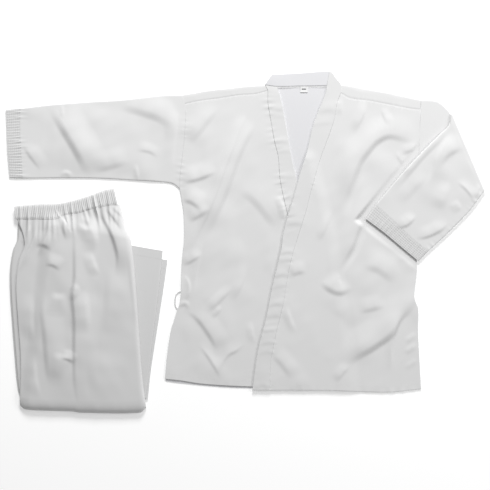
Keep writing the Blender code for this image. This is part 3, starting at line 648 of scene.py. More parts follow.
JACKET_RELIEF = Relief((
    Ripple(0.7, 120, 30, 60, 3),
    Ripple(0.16, 55, -35, 80, 5),
    Fold(((-185, 262), (-400, 262), (-575, 258)), 118, 4.6),
    Fold(((-500, 364), (-482, 330), (-462, 295), (-436, 252), (-415, 212), (-398, 168)), 42, 8.5, -0.45),
    Fold(((-575, 262), (-563, 238), (-545, 211), (-522, 180)), 22, 3.4, -0.5),
    Fold(((-340, 368), (-287, 354), (-248, 342), (-216, 330), (-172, 300)), 40, 4.4, -0.4),
    Fold(((-398, 192), (-350, 204), (-300, 220)), 30, 3.0, -0.4),
    Fold(((-284, 243), (-248, 238), (-222, 222)), 16, 2.0, -0.5),
    Fold(((-284, 206), (-281, 181), (-279, 155)), 11, 2.2, 0.4, Crest.PINCHED),
    Fold(((-476, 362), (-475, 343), (-474, 322)), 9, 1.4, 0.3, Crest.PINCHED),
    Fold(((-182, 350), (-186, 292), (-190, 245), (-198, 188)), 22, 3.0, 0.4),
    Fold(((-486, 166), (-466, 180), (-446, 166)), 10, 2.2),
    Fold(((-60, 380), (-80, 150), (-85, -100), (-95, -350)), 120, 3.2),
    Fold(((30, 352), (12, 300), (-8, 262), (-24, 225), (-42, 175), (-60, 125), (-82, 75), (-100, 35), (-120, -5)),
         36, 8.0, 0.5),
    Fold(((-112, 10), (-124, -50), (-140, -136)), 18, 3.0, 0.5),
    Fold(((28, 374), (5, 340), (-14, 300), (-33, 250), (-56, 190), (-78, 130), (-102, 70), (-122, 30), (-142, -20),
          (-168, -78)), 16, 3.2, 0.45),
    Fold(((-72, 362), (-112, 308), (-156, 252)), 32, 4.0, 0.45),
    Fold(((-172, 160), (-125, 168), (-72, 190)), 26, 4.6, -0.55),
    Fold(((-168, 116), (-140, 110), (-108, 88)), 26, 3.8, -0.5),
    Fold(((-152, 58), (-122, 74), (-92, 94)), 26, 3.6, -0.5),
    Fold(((-168, -60), (-140, -44), (-112, -26)), 20, 3.0, -0.5),
    Fold(((-168, -82), (-150, -98), (-146, -128), (-160, -162)), 12, 2.6, 0.4, Crest.PINCHED),
    Fold(((-178, -168), (-156, -158), (-146, -176)), 10, 2.4),
    Fold(((-160, -166), (-124, -192), (-98, -224), (-76, -262), (-66, -300)), 28, 5.0, -0.5),
    Fold(((-122, -262), (-98, -293), (-78, -324), (-60, -357)), 18, 3.0, -0.6, Crest.PINCHED),
    Fold(((4, -256), (-22, -279), (-45, -292), (-62, -318), (-74, -352)), 20, 3.2, 0.5, Crest.PINCHED),
    Fold(((12, -200), (17, -236), (25, -268)), 14, 1.8, 0.4),
    Fold(((-34, -112), (-68, -148), (-106, -186)), 16, 2.8, 0.3),
    Fold(((-62, -165), (-86, -196)), 12, 1.8, 0.3),
    Fold(((8, -48), (-6, -93), (-20, -126), (-32, -154)), 18, 2.4, 0.5),
    Fold(((-14, 152), (35, 112), (70, 68), (100, 34)), 46, 4.4, -0.45),
    Fold(((80, 124), (95, 98), (102, 56)), 12, 2.6, 0.4),
    Fold(((330, 380), (330, 60), (300, -150), (260, -370)), 128, 3.8),
    Fold(((309, 375), (306, 339), (293, 310), (280, 280)), 18, 2.6, 0.45),
    Fold(((354, 354), (362, 331), (374, 304)), 14, 2.0, -0.4),
    Fold(((250, 380), (246, 328)), 14, 1.8, 0.4),
    Fold(((452, 262), (412, 276), (372, 283), (338, 268), (312, 240), (292, 212), (278, 178), (266, 135), (246, 66)),
         38, 8.0, 0.5),
    Fold(((300, 196), (288, 160), (272, 118), (254, 66)), 16, -2.6),
    Fold(((456, 246), (425, 240), (396, 232)), 16, 2.2, 0.4),
    Fold(((392, 240), (402, 218), (420, 196)), 14, 2.0, -0.4),
    Fold(((350, 130), (322, 102), (300, 62), (284, 25), (270, -15), (250, -50), (230, -86)), 30, 6.0, 0.45),
    Fold(((340, 90), (314, 52), (300, 16), (284, -20), (262, -56), (242, -90)), 14, -2.4),
    Fold(((224, 90), (204, 37), (184, -8)), 16, 2.6, 0.3),
    Fold(((196, -92), (222, -116), (248, -124), (276, -108)), 34, 5.2, -0.5),
    Fold(((112, -86), (135, -74), (162, -72)), 22, 3.0, -0.4),
    Fold(((104, -160), (114, -196), (132, -240)), 14, 2.4, 0.4),
    Fold(((60, -278), (95, -308), (130, -352)), 26, 3.6, -0.35),
    Fold(((450, -112), (425, -155), (398, -197), (370, -234), (330, -264), (286, -290), (246, -322)), 44, 9.0, 0.5),
    Fold(((428, -150), (408, -208), (398, -262), (390, -340)), 17, -4.2),
    Fold(((410, -178), (392, -222), (380, -272), (378, -340)), 20, 3.4, 0.5, Crest.PINCHED),
    Fold(((170, -205), (235, -240), (300, -232)), 66, -3.0),
    Fold(((272, -316), (252, -338), (234, -364)), 16, 2.6, 0.5),
    Fold(((290, -176), (326, -168), (366, -158)), 24, 2.8, -0.4),
    Fold(((300, -50), (350, -64), (398, -100)), 36, 3.4, -0.4),
    Fold(((400, -10), (424, -40), (442, -84)), 26, 2.6, 0.4),
    Fold(((414, -262), (446, -232)), 12, 1.8),
    Fold(((412, -290), (448, -262)), 12, 1.8),
    Fold(((412, -332), (450, -300)), 12, 1.8),
    Pucker(JACKET.armhole_right, 22, 0.45, 11, 11),
    Pucker(JACKET.band_seam_right[2:], 26, 0.5, 13, 19),
    Pucker(JACKET.band_seam_left, 12, 0.22, 14, 12),
    Pucker(JACKET.band_edge_left, 12, 0.25, 16, 13),
    Pucker(JACKET.hem_left, 16, 0.28, 18, 14),
    Pucker(JACKET.hem_right, 16, 0.28, 18, 15),
    Pucker(JACKET.seam_right, 12, 0.25, 14, 16),
    Pucker(JACKET.seam_left, 12, 0.25, 14, 17),
    Pucker(((-578, 166), (-581, 230), (-584, 290), (-584, 349)), 26, 0.6, 9, 18),
) + JACKET.lapel_creases(), 0.72)

FOREARM_RELIEF = Relief((
    Ripple(0.5, 90, 70, 60, 21),
    Fold(((560, 250), (430, 60)), 105, 3.0),
    Fold(((545, 318), (506, 274), (454, 222), (404, 162), (372, 124)), 24, 5.0, 0.45),
    Fold(((538, 292), (516, 250), (500, 214), (490, 176), (470, 138)), 26, 5.0, -0.5),
    Fold(((574, 252), (545, 245), (516, 226), (494, 190)), 30, 4.6, 0.45),
    Fold(((526, 160), (514, 120), (500, 84)), 26, 3.0, 0.3),
    Fold(((548, 160), (574, 138), (597, 108)), 16, 3.0, -0.5, Crest.PINCHED),
    Fold(((612, 160), (604, 136), (594, 108)), 12, 2.4, 0.4, Crest.PINCHED),
    Fold(((392, 40), (420, 48), (444, 74)), 18, 4.0, -0.55),
    Fold(((436, 14), (466, 16), (505, 34), (528, 58)), 20, 4.4, -0.55),
    Fold(((540, 110), (560, 78)), 18, 2.4, 0.3),
    Fold(((470, 180), (430, 140), (396, 96)), 26, 2.8, 0.3),
    Pucker(((313, 61), (360, 26), (403, -10), (450, -49)), 48, 0.45, 12, 22),
    Pucker(((619, 132), (584, 84), (532, 30), (476, -22)), 20, 0.7, 16, 23),
    Pucker(((534, 333), (506, 282), (454, 230), (371, 136)), 14, 0.3, 26, 24),
), 0.62)

TROUSER_RELIEF = Relief((
    Ripple(0.6, 130, 10, 50, 31),
    Ripple(0.16, 60, -30, 80, 32),
    Fold(((-445, 110), (-445, -150), (-430, -446)), 152, 4.0),
    Fold(((-436, 76), (-437, -7), (-436, -98), (-442, -130), (-437, -202), (-437, -293), (-436, -358), (-424, -450)),
         36, 7.0, -0.68),
    Fold(((-450, -106), (-438, -124), (-452, -150)), 14, 3.0),
    Fold(((-478, -296), (-456, -300), (-440, -312)), 16, 3.4, -0.5),
    Fold(((-388, 96), (-364, 64), (-348, 36), (-335, 4), (-326, -38), (-330, -90)), 30, 8.0, -0.62),
    Fold(((-366, 98), (-340, 66), (-314, 30)), 16, 3.6, -0.55),
    Fold(((-350, 98), (-328, 78), (-306, 58)), 12, 2.6, -0.5),
    Fold(((-418, 92), (-402, 40), (-392, 4), (-404, -34)), 26, 5.2, 0.4),
    Fold(((-428, 60), (-412, 44), (-396, 52)), 12, -2.6),
    Fold(((-404, -20), (-396, -50), (-382, -88)), 18, 3.0, 0.4),
    Fold(((-470, 80), (-468, 40), (-462, 6)), 18, 4.4, -0.5, Crest.PINCHED),
    Fold(((-488, 74), (-492, 37), (-500, -4)), 14, 3.4, -0.4, Crest.PINCHED),
    Fold(((-508, 62), (-517, 13), (-540, -42)), 16, 4.2, -0.5, Crest.PINCHED),
    Fold(((-532, 62), (-553, 0), (-576, -52), (-594, -92)), 14, 3.8, -0.5, Crest.PINCHED),
    Fold(((-550, 60), (-566, 20), (-584, -24)), 12, 3.0, -0.5, Crest.PINCHED),
    Fold(((-548, -4), (-521, -2), (-496, -18)), 24, 3.6, -0.5),
    Fold(((-520, -52), (-495, -56), (-474, -70)), 20, 3.0, -0.5),
    Fold(((-556, -128), (-560, -200), (-556, -262)), 30, 3.6, 0.5),
    Fold(((-514, -130), (-518, -176), (-514, -214), (-508, -280), (-502, -380)), 34, 5.4, -0.5),
    Fold(((-553, -280), (-548, -340), (-536, -410)), 28, 3.4, 0.5),
    Fold(((-512, -140), (-486, -150), (-456, -146)), 34, 3.4, 0.4),
    Fold(((-506, -300), (-478, -306), (-450, -316)), 36, 3.2, 0.4),
    Fold(((-420, -118), (-414, -180), (-414, -240)), 34, 4.0, 0.5),
    Fold(((-340, -60), (-346, -140), (-356, -240)), 44, 3.8, -0.45),
    Fold(((-296, -10), (-290, -98), (-281, -176), (-276, -250)), 20, 2.8, -0.4),
    Fold(((-386, -270), (-380, -340), (-372, -420)), 50, 2.8, -0.35),
    Pucker(((-594, 61), (-542, 61), (-487, 62), (-470, 73), (-430, 79), (-404, 87), (-352, 98), (-325, 98)),
           70, 2.3, 13, 33),
    Pucker(((-585, -424), (-508, -438), (-430, -443), (-257, -430)), 26, 0.5, 34, 34),
), 0.85)


@dataclass(frozen=True)
class ElbowTurn:
    """The bend that lays the left forearm back over the elbow line."""

    angles: np.ndarray
    drop: np.ndarray
    axis_height: float = 4.2

    def turned(self, rings: np.ndarray) -> np.ndarray:
        """Rings bent round the elbow line by an angle for each row, then lowered by a drop."""
        line = np.asarray(JACKET.elbow_bottom, float) - JACKET.elbow_top
        line /= np.linalg.norm(line)
        outward = np.array((-line[1], line[0]))
        radius = self.axis_height - rings[..., 2]
        moved = rings.copy()
        moved[..., :2] += outward * (radius * np.sin(self.angles)[:, None])[..., None]
        moved[..., 2] = self.axis_height - radius * np.cos(self.angles)[:, None] - self.drop[:, None]
        return moved


class Elastic:
    """Elastic gathers worked into a band: ribs that follow its across attribute, by geometry nodes."""

    def __init__(self) -> None:
        """Build the node tree once."""
        tree = bpy.data.node_groups.new("elastic_ribs", "GeometryNodeTree")
        for name, kind in (("Cloth", "NodeSocketGeometry"), ("Ribs", "NodeSocketFloat"),
                           ("Rib height", "NodeSocketFloat"), ("Finish", "NodeSocketMaterial")):
            tree.interface.new_socket(name, in_out="INPUT", socket_type=kind)
        tree.interface.new_socket("Cloth", in_out="OUTPUT", socket_type="NodeSocketGeometry")
        nodes, links = tree.nodes, tree.links
        given, out = nodes.new("NodeGroupInput"), nodes.new("NodeGroupOutput")

        def attribute(label: str) -> bpy.types.NodeSocket:
            """A number attribute of the cloth's points."""
            node = nodes.new("GeometryNodeInputNamedAttribute")
            node.data_type = "FLOAT"
            node.inputs["Name"].default_value = label
            return node.outputs["Attribute"]

        def sum_of(operation: str, first: bpy.types.NodeSocket, second: bpy.types.NodeSocket | float
                   ) -> bpy.types.NodeSocket:
            """One step of arithmetic."""
            node = nodes.new("ShaderNodeMath")
            node.operation = operation
            links.new(first, node.inputs[0])
            if isinstance(second, float):
                node.inputs[1].default_value = second
            else:
                links.new(second, node.inputs[1])
            return node.outputs[0]

        turns = sum_of("MULTIPLY", sum_of("MULTIPLY", attribute("across"), given.outputs["Ribs"]), 2 * np.pi)
        fine = sum_of("SINE", turns, 0.0)
        slow = sum_of("SINE", sum_of("MULTIPLY", turns, 0.37), 0.0)
        wave = sum_of("ADD", sum_of("ADD", fine, sum_of("MULTIPLY", slow, 0.4)), 1.4)
        rise = sum_of("MULTIPLY", sum_of("MULTIPLY", wave, attribute("draw")), given.outputs["Rib height"])
        offset = nodes.new("ShaderNodeCombineXYZ")
        links.new(sum_of("MULTIPLY", rise, 0.4), offset.inputs["Z"])
        move = nodes.new("GeometryNodeSetPosition")
        links.new(given.outputs["Cloth"], move.inputs["Geometry"])
        links.new(offset.outputs[0], move.inputs["Offset"])
        real = nodes.new("GeometryNodeRealizeInstances")
        dress = nodes.new("GeometryNodeSetMaterial")
        links.new(move.outputs[0], real.inputs[0])
        links.new(real.outputs[0], dress.inputs["Geometry"])
        links.new(given.outputs["Finish"], dress.inputs["Material"])
        links.new(dress.outputs[0], out.inputs["Cloth"])
        self.tree = tree

    def gathered(self, cloth: bpy.types.Object, ribs: float, height: float, finish: Cotton) -> bpy.types.Object:
        """Work the ribs into a cloth.

        Args:
            cloth: the band's cloth, with across and draw on its points.
            ribs: how many ribs it has across.
            height: how high a rib stands, in millimetres.
            finish: the band's cotton.

        Returns:
            The same object with its gathered mesh.
        """
        return applied(cloth, self.tree, {"Ribs": ribs, "Rib height": height * MM, "Finish": finish.material()})


def applied(item: bpy.types.Object, tree: bpy.types.NodeTree, inputs: dict[str, object]) -> bpy.types.Object:
    """Run a node tree on an object and keep the result as its plain mesh.

    Args:
        item: the object.
        tree: the node tree.
        inputs: the tree's inputs by name.

    Returns:
        The same object.
    """
    modifier = item.modifiers.new(tree.name, "NODES")
    modifier.node_group = tree
    for socket in tree.interface.items_tree:
        if socket.in_out == "INPUT" and socket.name in inputs:
            modifier[socket.identifier] = inputs[socket.name]
    bpy.context.view_layer.update()
    seen = item.evaluated_get(bpy.context.evaluated_depsgraph_get())
    mesh = bpy.data.meshes.new_from_object(seen, preserve_all_data_layers=True,
                                           depsgraph=bpy.context.evaluated_depsgraph_get())
    item.modifiers.remove(modifier)
    item.data = mesh
    return item


class Needle:
    """Rows of machine stitches along lines on the cloth, by geometry nodes."""

    def __init__(self, thread: Thread) -> None:
        """Build the node tree for one thread."""
        self.thread = thread
        tree = bpy.data.node_groups.new("stitches", "GeometryNodeTree")
        for name, kind in (("Lines", "NodeSocketGeometry"), ("Pitch", "NodeSocketFloat"),
                           ("Length", "NodeSocketFloat"), ("Width", "NodeSocketFloat"),
                           ("Thread", "NodeSocketMaterial")):
            tree.interface.new_socket(name, in_out="INPUT", socket_type=kind)
        tree.interface.new_socket("Stitches", in_out="OUTPUT", socket_type="NodeSocketGeometry")
        nodes, links = tree.nodes, tree.links
        given, out = nodes.new("NodeGroupInput"), nodes.new("NodeGroupOutput")
        curve = nodes.new("GeometryNodeMeshToCurve")
        points = nodes.new("GeometryNodeCurveToPoints")
        points.mode = "LENGTH"
        turn = nodes.new("FunctionNodeAlignRotationToVector")
        turn.axis = "X"
        bead = nodes.new("GeometryNodeMeshUVSphere")
        bead.inputs["Segments"].default_value = 5
        bead.inputs["Rings"].default_value = 4
        bead.inputs["Radius"].default_value = 0.5
        size = nodes.new("ShaderNodeCombineXYZ")
        place = nodes.new("GeometryNodeInstanceOnPoints")
        real = nodes.new("GeometryNodeRealizeInstances")
        smooth = nodes.new("GeometryNodeSetShadeSmooth")
        dress = nodes.new("GeometryNodeSetMaterial")
        links.new(given.outputs["Lines"], curve.inputs["Mesh"])
        links.new(curve.outputs["Curve"], points.inputs["Curve"])
        links.new(given.outputs["Pitch"], points.inputs["Length"])
        links.new(points.outputs["Tangent"], turn.inputs["Vector"])
        links.new(given.outputs["Length"], size.inputs["X"])
        links.new(given.outputs["Width"], size.inputs["Y"])
        links.new(given.outputs["Width"], size.inputs["Z"])
        links.new(points.outputs["Points"], place.inputs["Points"])
        links.new(bead.outputs["Mesh"], place.inputs["Instance"])
        links.new(turn.outputs["Rotation"], place.inputs["Rotation"])
        links.new(size.outputs[0], place.inputs["Scale"])
        links.new(place.outputs["Instances"], real.inputs[0])
        links.new(real.outputs[0], smooth.inputs[0])
        links.new(smooth.outputs[0], dress.inputs["Geometry"])
        links.new(given.outputs["Thread"], dress.inputs["Material"])
        links.new(dress.outputs[0], out.inputs["Stitches"])
        self.tree = tree

    def sew(self, name: str, rows: list[np.ndarray], slot: str) -> bpy.types.Object:
        """Sew rows of stitches.

        Args:
            name: the piece's name.
            rows: each row's points in millimetres, on the cloth's surface.
            slot: the record's slot of the cloth that they are sewn in; not used.

        Returns:
            The stitches as one piece.
        """
        points = np.concatenate(rows) * MM
        edges, start = [], 0
        for row in rows:
            edges += [(start + step, start + step + 1) for step in range(len(row) - 1)]
            start += len(row)
        mesh = bpy.data.meshes.new(name)
        mesh.from_pydata([tuple(point) for point in points], edges, [])
        piece = bpy.data.objects.new(name, mesh)
        bpy.context.scene.collection.objects.link(piece)
        applied(piece, self.tree, {"Pitch": self.thread.pitch * MM, "Length": self.thread.length * MM,
                                   "Width": self.thread.width * MM, "Thread": self.thread.material()})
        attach(piece, "root")
        log.info("sewed %s: %d rows, %d faces", name, len(rows), len(piece.data.polygons))
        return piece


@dataclass
class JacketBody:
    """The back, the two fronts, their bands, the collar and the shoulder strips."""

    jacket: Jacket = JACKET
    relief: Relief = JACKET_RELIEF
    columns: int = 131
    side_rows: int = 147
    armhole_rows: int = 61
    back_hem: Line = ((-207, -361), (-172, -366), (-60, -376), (18, -379), (246, -382), (455, -376))
    back_top: Line = ((-163, 374), (-92, 386), (-14, 395), (51, 400), (148, 402), (249, 401), (324, 388),
                      (402, 373), (456, 361))
    collar_seam: Line = ((51, 409), (82, 405), (142, 406), (212, 407))
    collar_top: Line = ((69, 436), (142, 440), (194, 444), (219, 445))
    collar_corner: tuple[float, float] = (223, 445)
    back_inset: float = 1.8
    yoke_flap: float = 8.0
    stitches: list[np.ndarray] = field(default_factory=list)

    def _up(self) -> np.ndarray:
        """The fractions up a front: its side seam, then its armhole."""
        share = self.jacket.side_share
        return joined(share * edged(self.side_rows - 6, 0.0012)[: self.side_rows], share + (1 - share) *
                      even(self.armhole_rows))

    def _outer(self, side: Line, armhole: Line, up: np.ndarray) -> np.ndarray:
        """A panel's outer edge: up its side seam, then up its armhole."""
        share = self.jacket.side_share
        below = up <= share + 1e-9
        return np.concatenate([sampled(side, up[below] / share), sampled(armhole, (up[~below] - share) / (1 - share))])

    def surface(self, plan: np.ndarray, thickness: float, share: np.ndarray | float = 1.0) -> np.ndarray:
        """The height of a jacket cloth's upper side over a plan."""
        return self.jacket.rest + share * self.relief.lift(plan) + thickness

    def _sheet(self, name: str, plan: np.ndarray, rise: np.ndarray | float, thickness: float, finish: Cotton,
               share: np.ndarray | float = 1.0, step: int = 2) -> bpy.types.Object:
        """A cloth over a plan, raised by this much and with its share of the relief."""
        bottom = self.jacket.rest + rise + share * self.relief.lift(plan)
        upper, lower = with_height(plan, bottom + thickness), with_height(plan, bottom)
        soft_edges(upper, lower, thickness)
        return sheet_shell(name, upper, lower, finish, step)

    def back(self) -> None:
        """The back panel, whose inner side shows in the neck opening."""
        across, up = edged(35, 0.001), self._up()[::4]
        up[-1] = 1.0
        right = self._outer((self.back_hem[0],) + self.jacket.side_right[1:],
                            self.jacket.armhole_right + (self.back_top[0],), up)
        left = self._outer((self.back_hem[-1],) + self.jacket.side_left[1:],
                           self.jacket.armhole_left + (self.back_top[-1],), up)
        plan = patch(sampled(self.back_hem, across), sampled(self.back_top, across), right, left, across, up)
        plan = drawn_in(plan, left=self.back_inset, right=self.back_inset)
        upper, lower = with_height(plan, self.jacket.wall), with_height(plan, 0.0)
        soft_edges(upper, lower, self.jacket.wall)
        piece = sheet_shell("back_cloth", upper, lower, INSIDE)
        lay(piece, "back", (664, 790))

    def fronts(self) -> None:
        """The two fronts, from side seam to band seam and from hem to shoulder seam."""
        jacket = self.jacket
        across, up = edged(self.columns - 6, 0.0016), self._up()
        plan = patch(sampled(jacket.hem_right, across), sampled(jacket.seam_right, across),
                     self._outer(jacket.side_right, jacket.armhole_right, up),
                     sampled(jacket.band_seam_right, up), across, up)
        plan = drawn_in(plan, left=jacket.gap / 2, right=jacket.gap / 2, top=jacket.gap / 2)
        piece = self._sheet("front_right_cloth", plan, 0.0, jacket.wall, OUTSIDE, jacket.clear_of_left_front(plan))
        lay(piece, "front_right", (394, 786))

        plan = patch(sampled(jacket.hem_left, across), sampled(jacket.seam_left, across),
                     sampled(jacket.band_seam_left, up), self._outer(jacket.side_left, jacket.armhole_left, up),
                     across, up)
        plan = drawn_in(plan, left=jacket.gap / 2, right=jacket.gap / 2, top=jacket.gap / 2)
        piece = self._sheet("front_left_cloth", plan, jacket.raised(plan), jacket.wall, OUTSIDE,
                            jacket.clear_of_forearm(plan))
        lay(piece, "front_left", (394, 780))

    def bands(self) -> None:
        """The doubled band down each front edge, the left one lying over the right one."""
        jacket, across = self.jacket, edged(15, 0.012)
        fine = self._up()
        outer = np.vstack([sampled(jacket.band_seam_right, fine), self.collar_seam[0]])
        up = np.append(fine, 1.02) / 1.02
        plan = patch(sampled((jacket.band_seam_right[0], jacket.band_edge_right[0]), across),
                     sampled(self.collar_seam[:2], across), outer, sampled(jacket.band_edge_right, up), across, up)
        plan = drawn_in(plan, left=jacket.gap / 2, top=jacket.gap / 2)
        piece = self._sheet("band_right_cloth", plan, 0.0, jacket.band, BAND, jacket.clear_of_left_front(plan), 1)
        lay(piece, "band_right", (49, 802))

        collar_end = (self.collar_seam[-1], (214, 420), self.collar_top[-1])
        neck = 0.96
        up = joined(neck * fine, neck + (1 - neck) * even(13))
        outer = joined(sampled(jacket.band_seam_left, fine),
                       sampled((jacket.band_seam_left[-1], (249, 410), (236, 426), self.collar_corner), even(13)))
        inner = joined(sampled(jacket.band_edge_left[:-1] + (self.collar_seam[-1],), fine),
                       sampled(collar_end, even(13)))
        plan = patch(sampled((jacket.band_edge_left[0], jacket.band_seam_left[0]), across),
                     sampled((self.collar_top[-1], self.collar_corner), across), inner, outer, across, up)
        plan = drawn_in(plan, left=jacket.gap / 2, right=jacket.gap / 2)
        piece = self._sheet("band_left_cloth", plan, jacket.raised(plan), jacket.band, BAND, step=1)
        lay(piece, "band_left", (50, 850))

    def collar(self) -> None:
        """The band across the back of the neck, showing its inner side."""
        across, up = edged(95, 0.004), edged(15, 0.02)
        plan = patch(sampled(self.collar_seam, across), sampled(self.collar_top, across),
                     sampled((self.collar_seam[0], (59, 422), self.collar_top[0]), up),
                     sampled((self.collar_seam[-1], (214, 420), self.collar_top[-1]), up), across, up)
        plan = drawn_in(plan, right=self.jacket.gap / 2, bottom=2 * self.jacket.gap)
        piece = self._sheet("collar_cloth", plan, 0.0, self.jacket.band, INSIDE, step=1)
        lay(piece, "collar_band", (164, 38))

    def yokes(self) -> None:
        """The strip over each shoulder, which turns over the shoulder line and runs a little way under."""
        jacket = self.jacket
        turn = jacket.rest + jacket.wall
        half = turn / 2
        shares = np.linspace(1.0, 0.14, 9)
        outer_in = (half, 0.3 * half, 0.0, 0.3 * half, half, self.yoke_flap)
        outer_up = (turn,) * 9 + (turn, 0.86 * turn, half, 0.14 * turn, 0.0, 0.0)
        inner_in = (half + 0.1, jacket.wall + 0.06, jacket.wall, jacket.wall + 0.06, half + 0.1, self.yoke_flap)
        inner_up = (jacket.rest,) * 9 + (jacket.rest, half + 0.1, half, half - 0.1, jacket.wall, jacket.wall)
        across = even(81)
        for side, fold, seam in (("right", jacket.shoulder_right, jacket.seam_right),
                                 ("left", jacket.shoulder_left, jacket.seam_left)):
            edge, line = sampled(fold, across), sampled(seam, across)
            for ends in (edge, line):
                ends[0, 0] += jacket.gap
                ends[-1, 0] -= jacket.gap
            width = np.linalg.norm(line - edge, axis=1)
            inward = (line - edge) / width[:, None]
            faces = [self._yoke_side(edge, inward, width - jacket.gap / 2, shares, fixed, heights)
                     for fixed, heights in ((outer_in, outer_up), (inner_in, inner_up))]
            faces[0][:, 0, 2] -= 0.5
            piece = sheet_shell("yoke_" + side + "_cloth", faces[0], faces[1], OUTSIDE)
            flat = (float(np.hypot(*np.diff(edge, axis=0).T).sum()), float(width.mean()) + 2 * self.yoke_flap)
            lay(piece, "yoke_" + side, flat)

    def _yoke_side(self, edge: np.ndarray, inward: np.ndarray, width: np.ndarray, shares: np.ndarray,
                   fixed: tuple[float, ...], heights: tuple[float, ...]) -> np.ndarray:
        """One side of a shoulder strip: its section at each step along the shoulder line."""
        distance = np.concatenate([width[:, None] * shares, np.broadcast_to(fixed, (len(edge), len(fixed)))], axis=1)
        plan = edge[:, None] + distance[..., None] * inward[:, None]
        over_layer = np.asarray(heights) >= self.jacket.rest
        lift = self.relief.lift(plan) * over_layer * smoothstep(distance / width[:, None] * 3.2)
        return with_height(plan, np.asarray(heights) + lift)

    def seam_rows(self) -> None:
        """Rows of stitches beside the seams, down the bands and along the hems."""
        jacket = self.jacket
        for line, aside, thickness, share in (
            (jacket.band_seam_left, 4.0, jacket.wall, jacket.clear_of_forearm),
            (jacket.seam_left, -5.0, jacket.wall, jacket.clear_of_forearm),
            (jacket.seam_right, -5.0, jacket.wall, jacket.clear_of_left_front),
            (jacket.hem_left, 14.0, jacket.wall, jacket.clear_of_forearm),
            (jacket.hem_right[:5], 14.0, jacket.wall, jacket.clear_of_left_front),
            (jacket.armhole_right, -4.0, jacket.wall, jacket.clear_of_left_front),
        ):
            row = sampled(line, np.linspace(0.02, 0.98, 160))
            along = np.gradient(row, axis=0)
            along /= np.linalg.norm(along, axis=1)[:, None]
            plan = row + aside * np.stack([-along[:, 1], along[:, 0]], axis=1)
            raised = jacket.raised(plan) if line in (jacket.band_seam_left, jacket.hem_left) else 0.0
            self.stitches.append(with_height(plan, self.surface(plan, thickness, share(plan)) + raised - 0.05))

    def build(self) -> list[np.ndarray]:
        """Make every piece of the body.

        Returns:
            The rows that its stitches follow.
        """
        self.back()
        self.fronts()
        self.bands()
        self.collar()
        self.yokes()
        self.seam_rows()
        return self.stitches


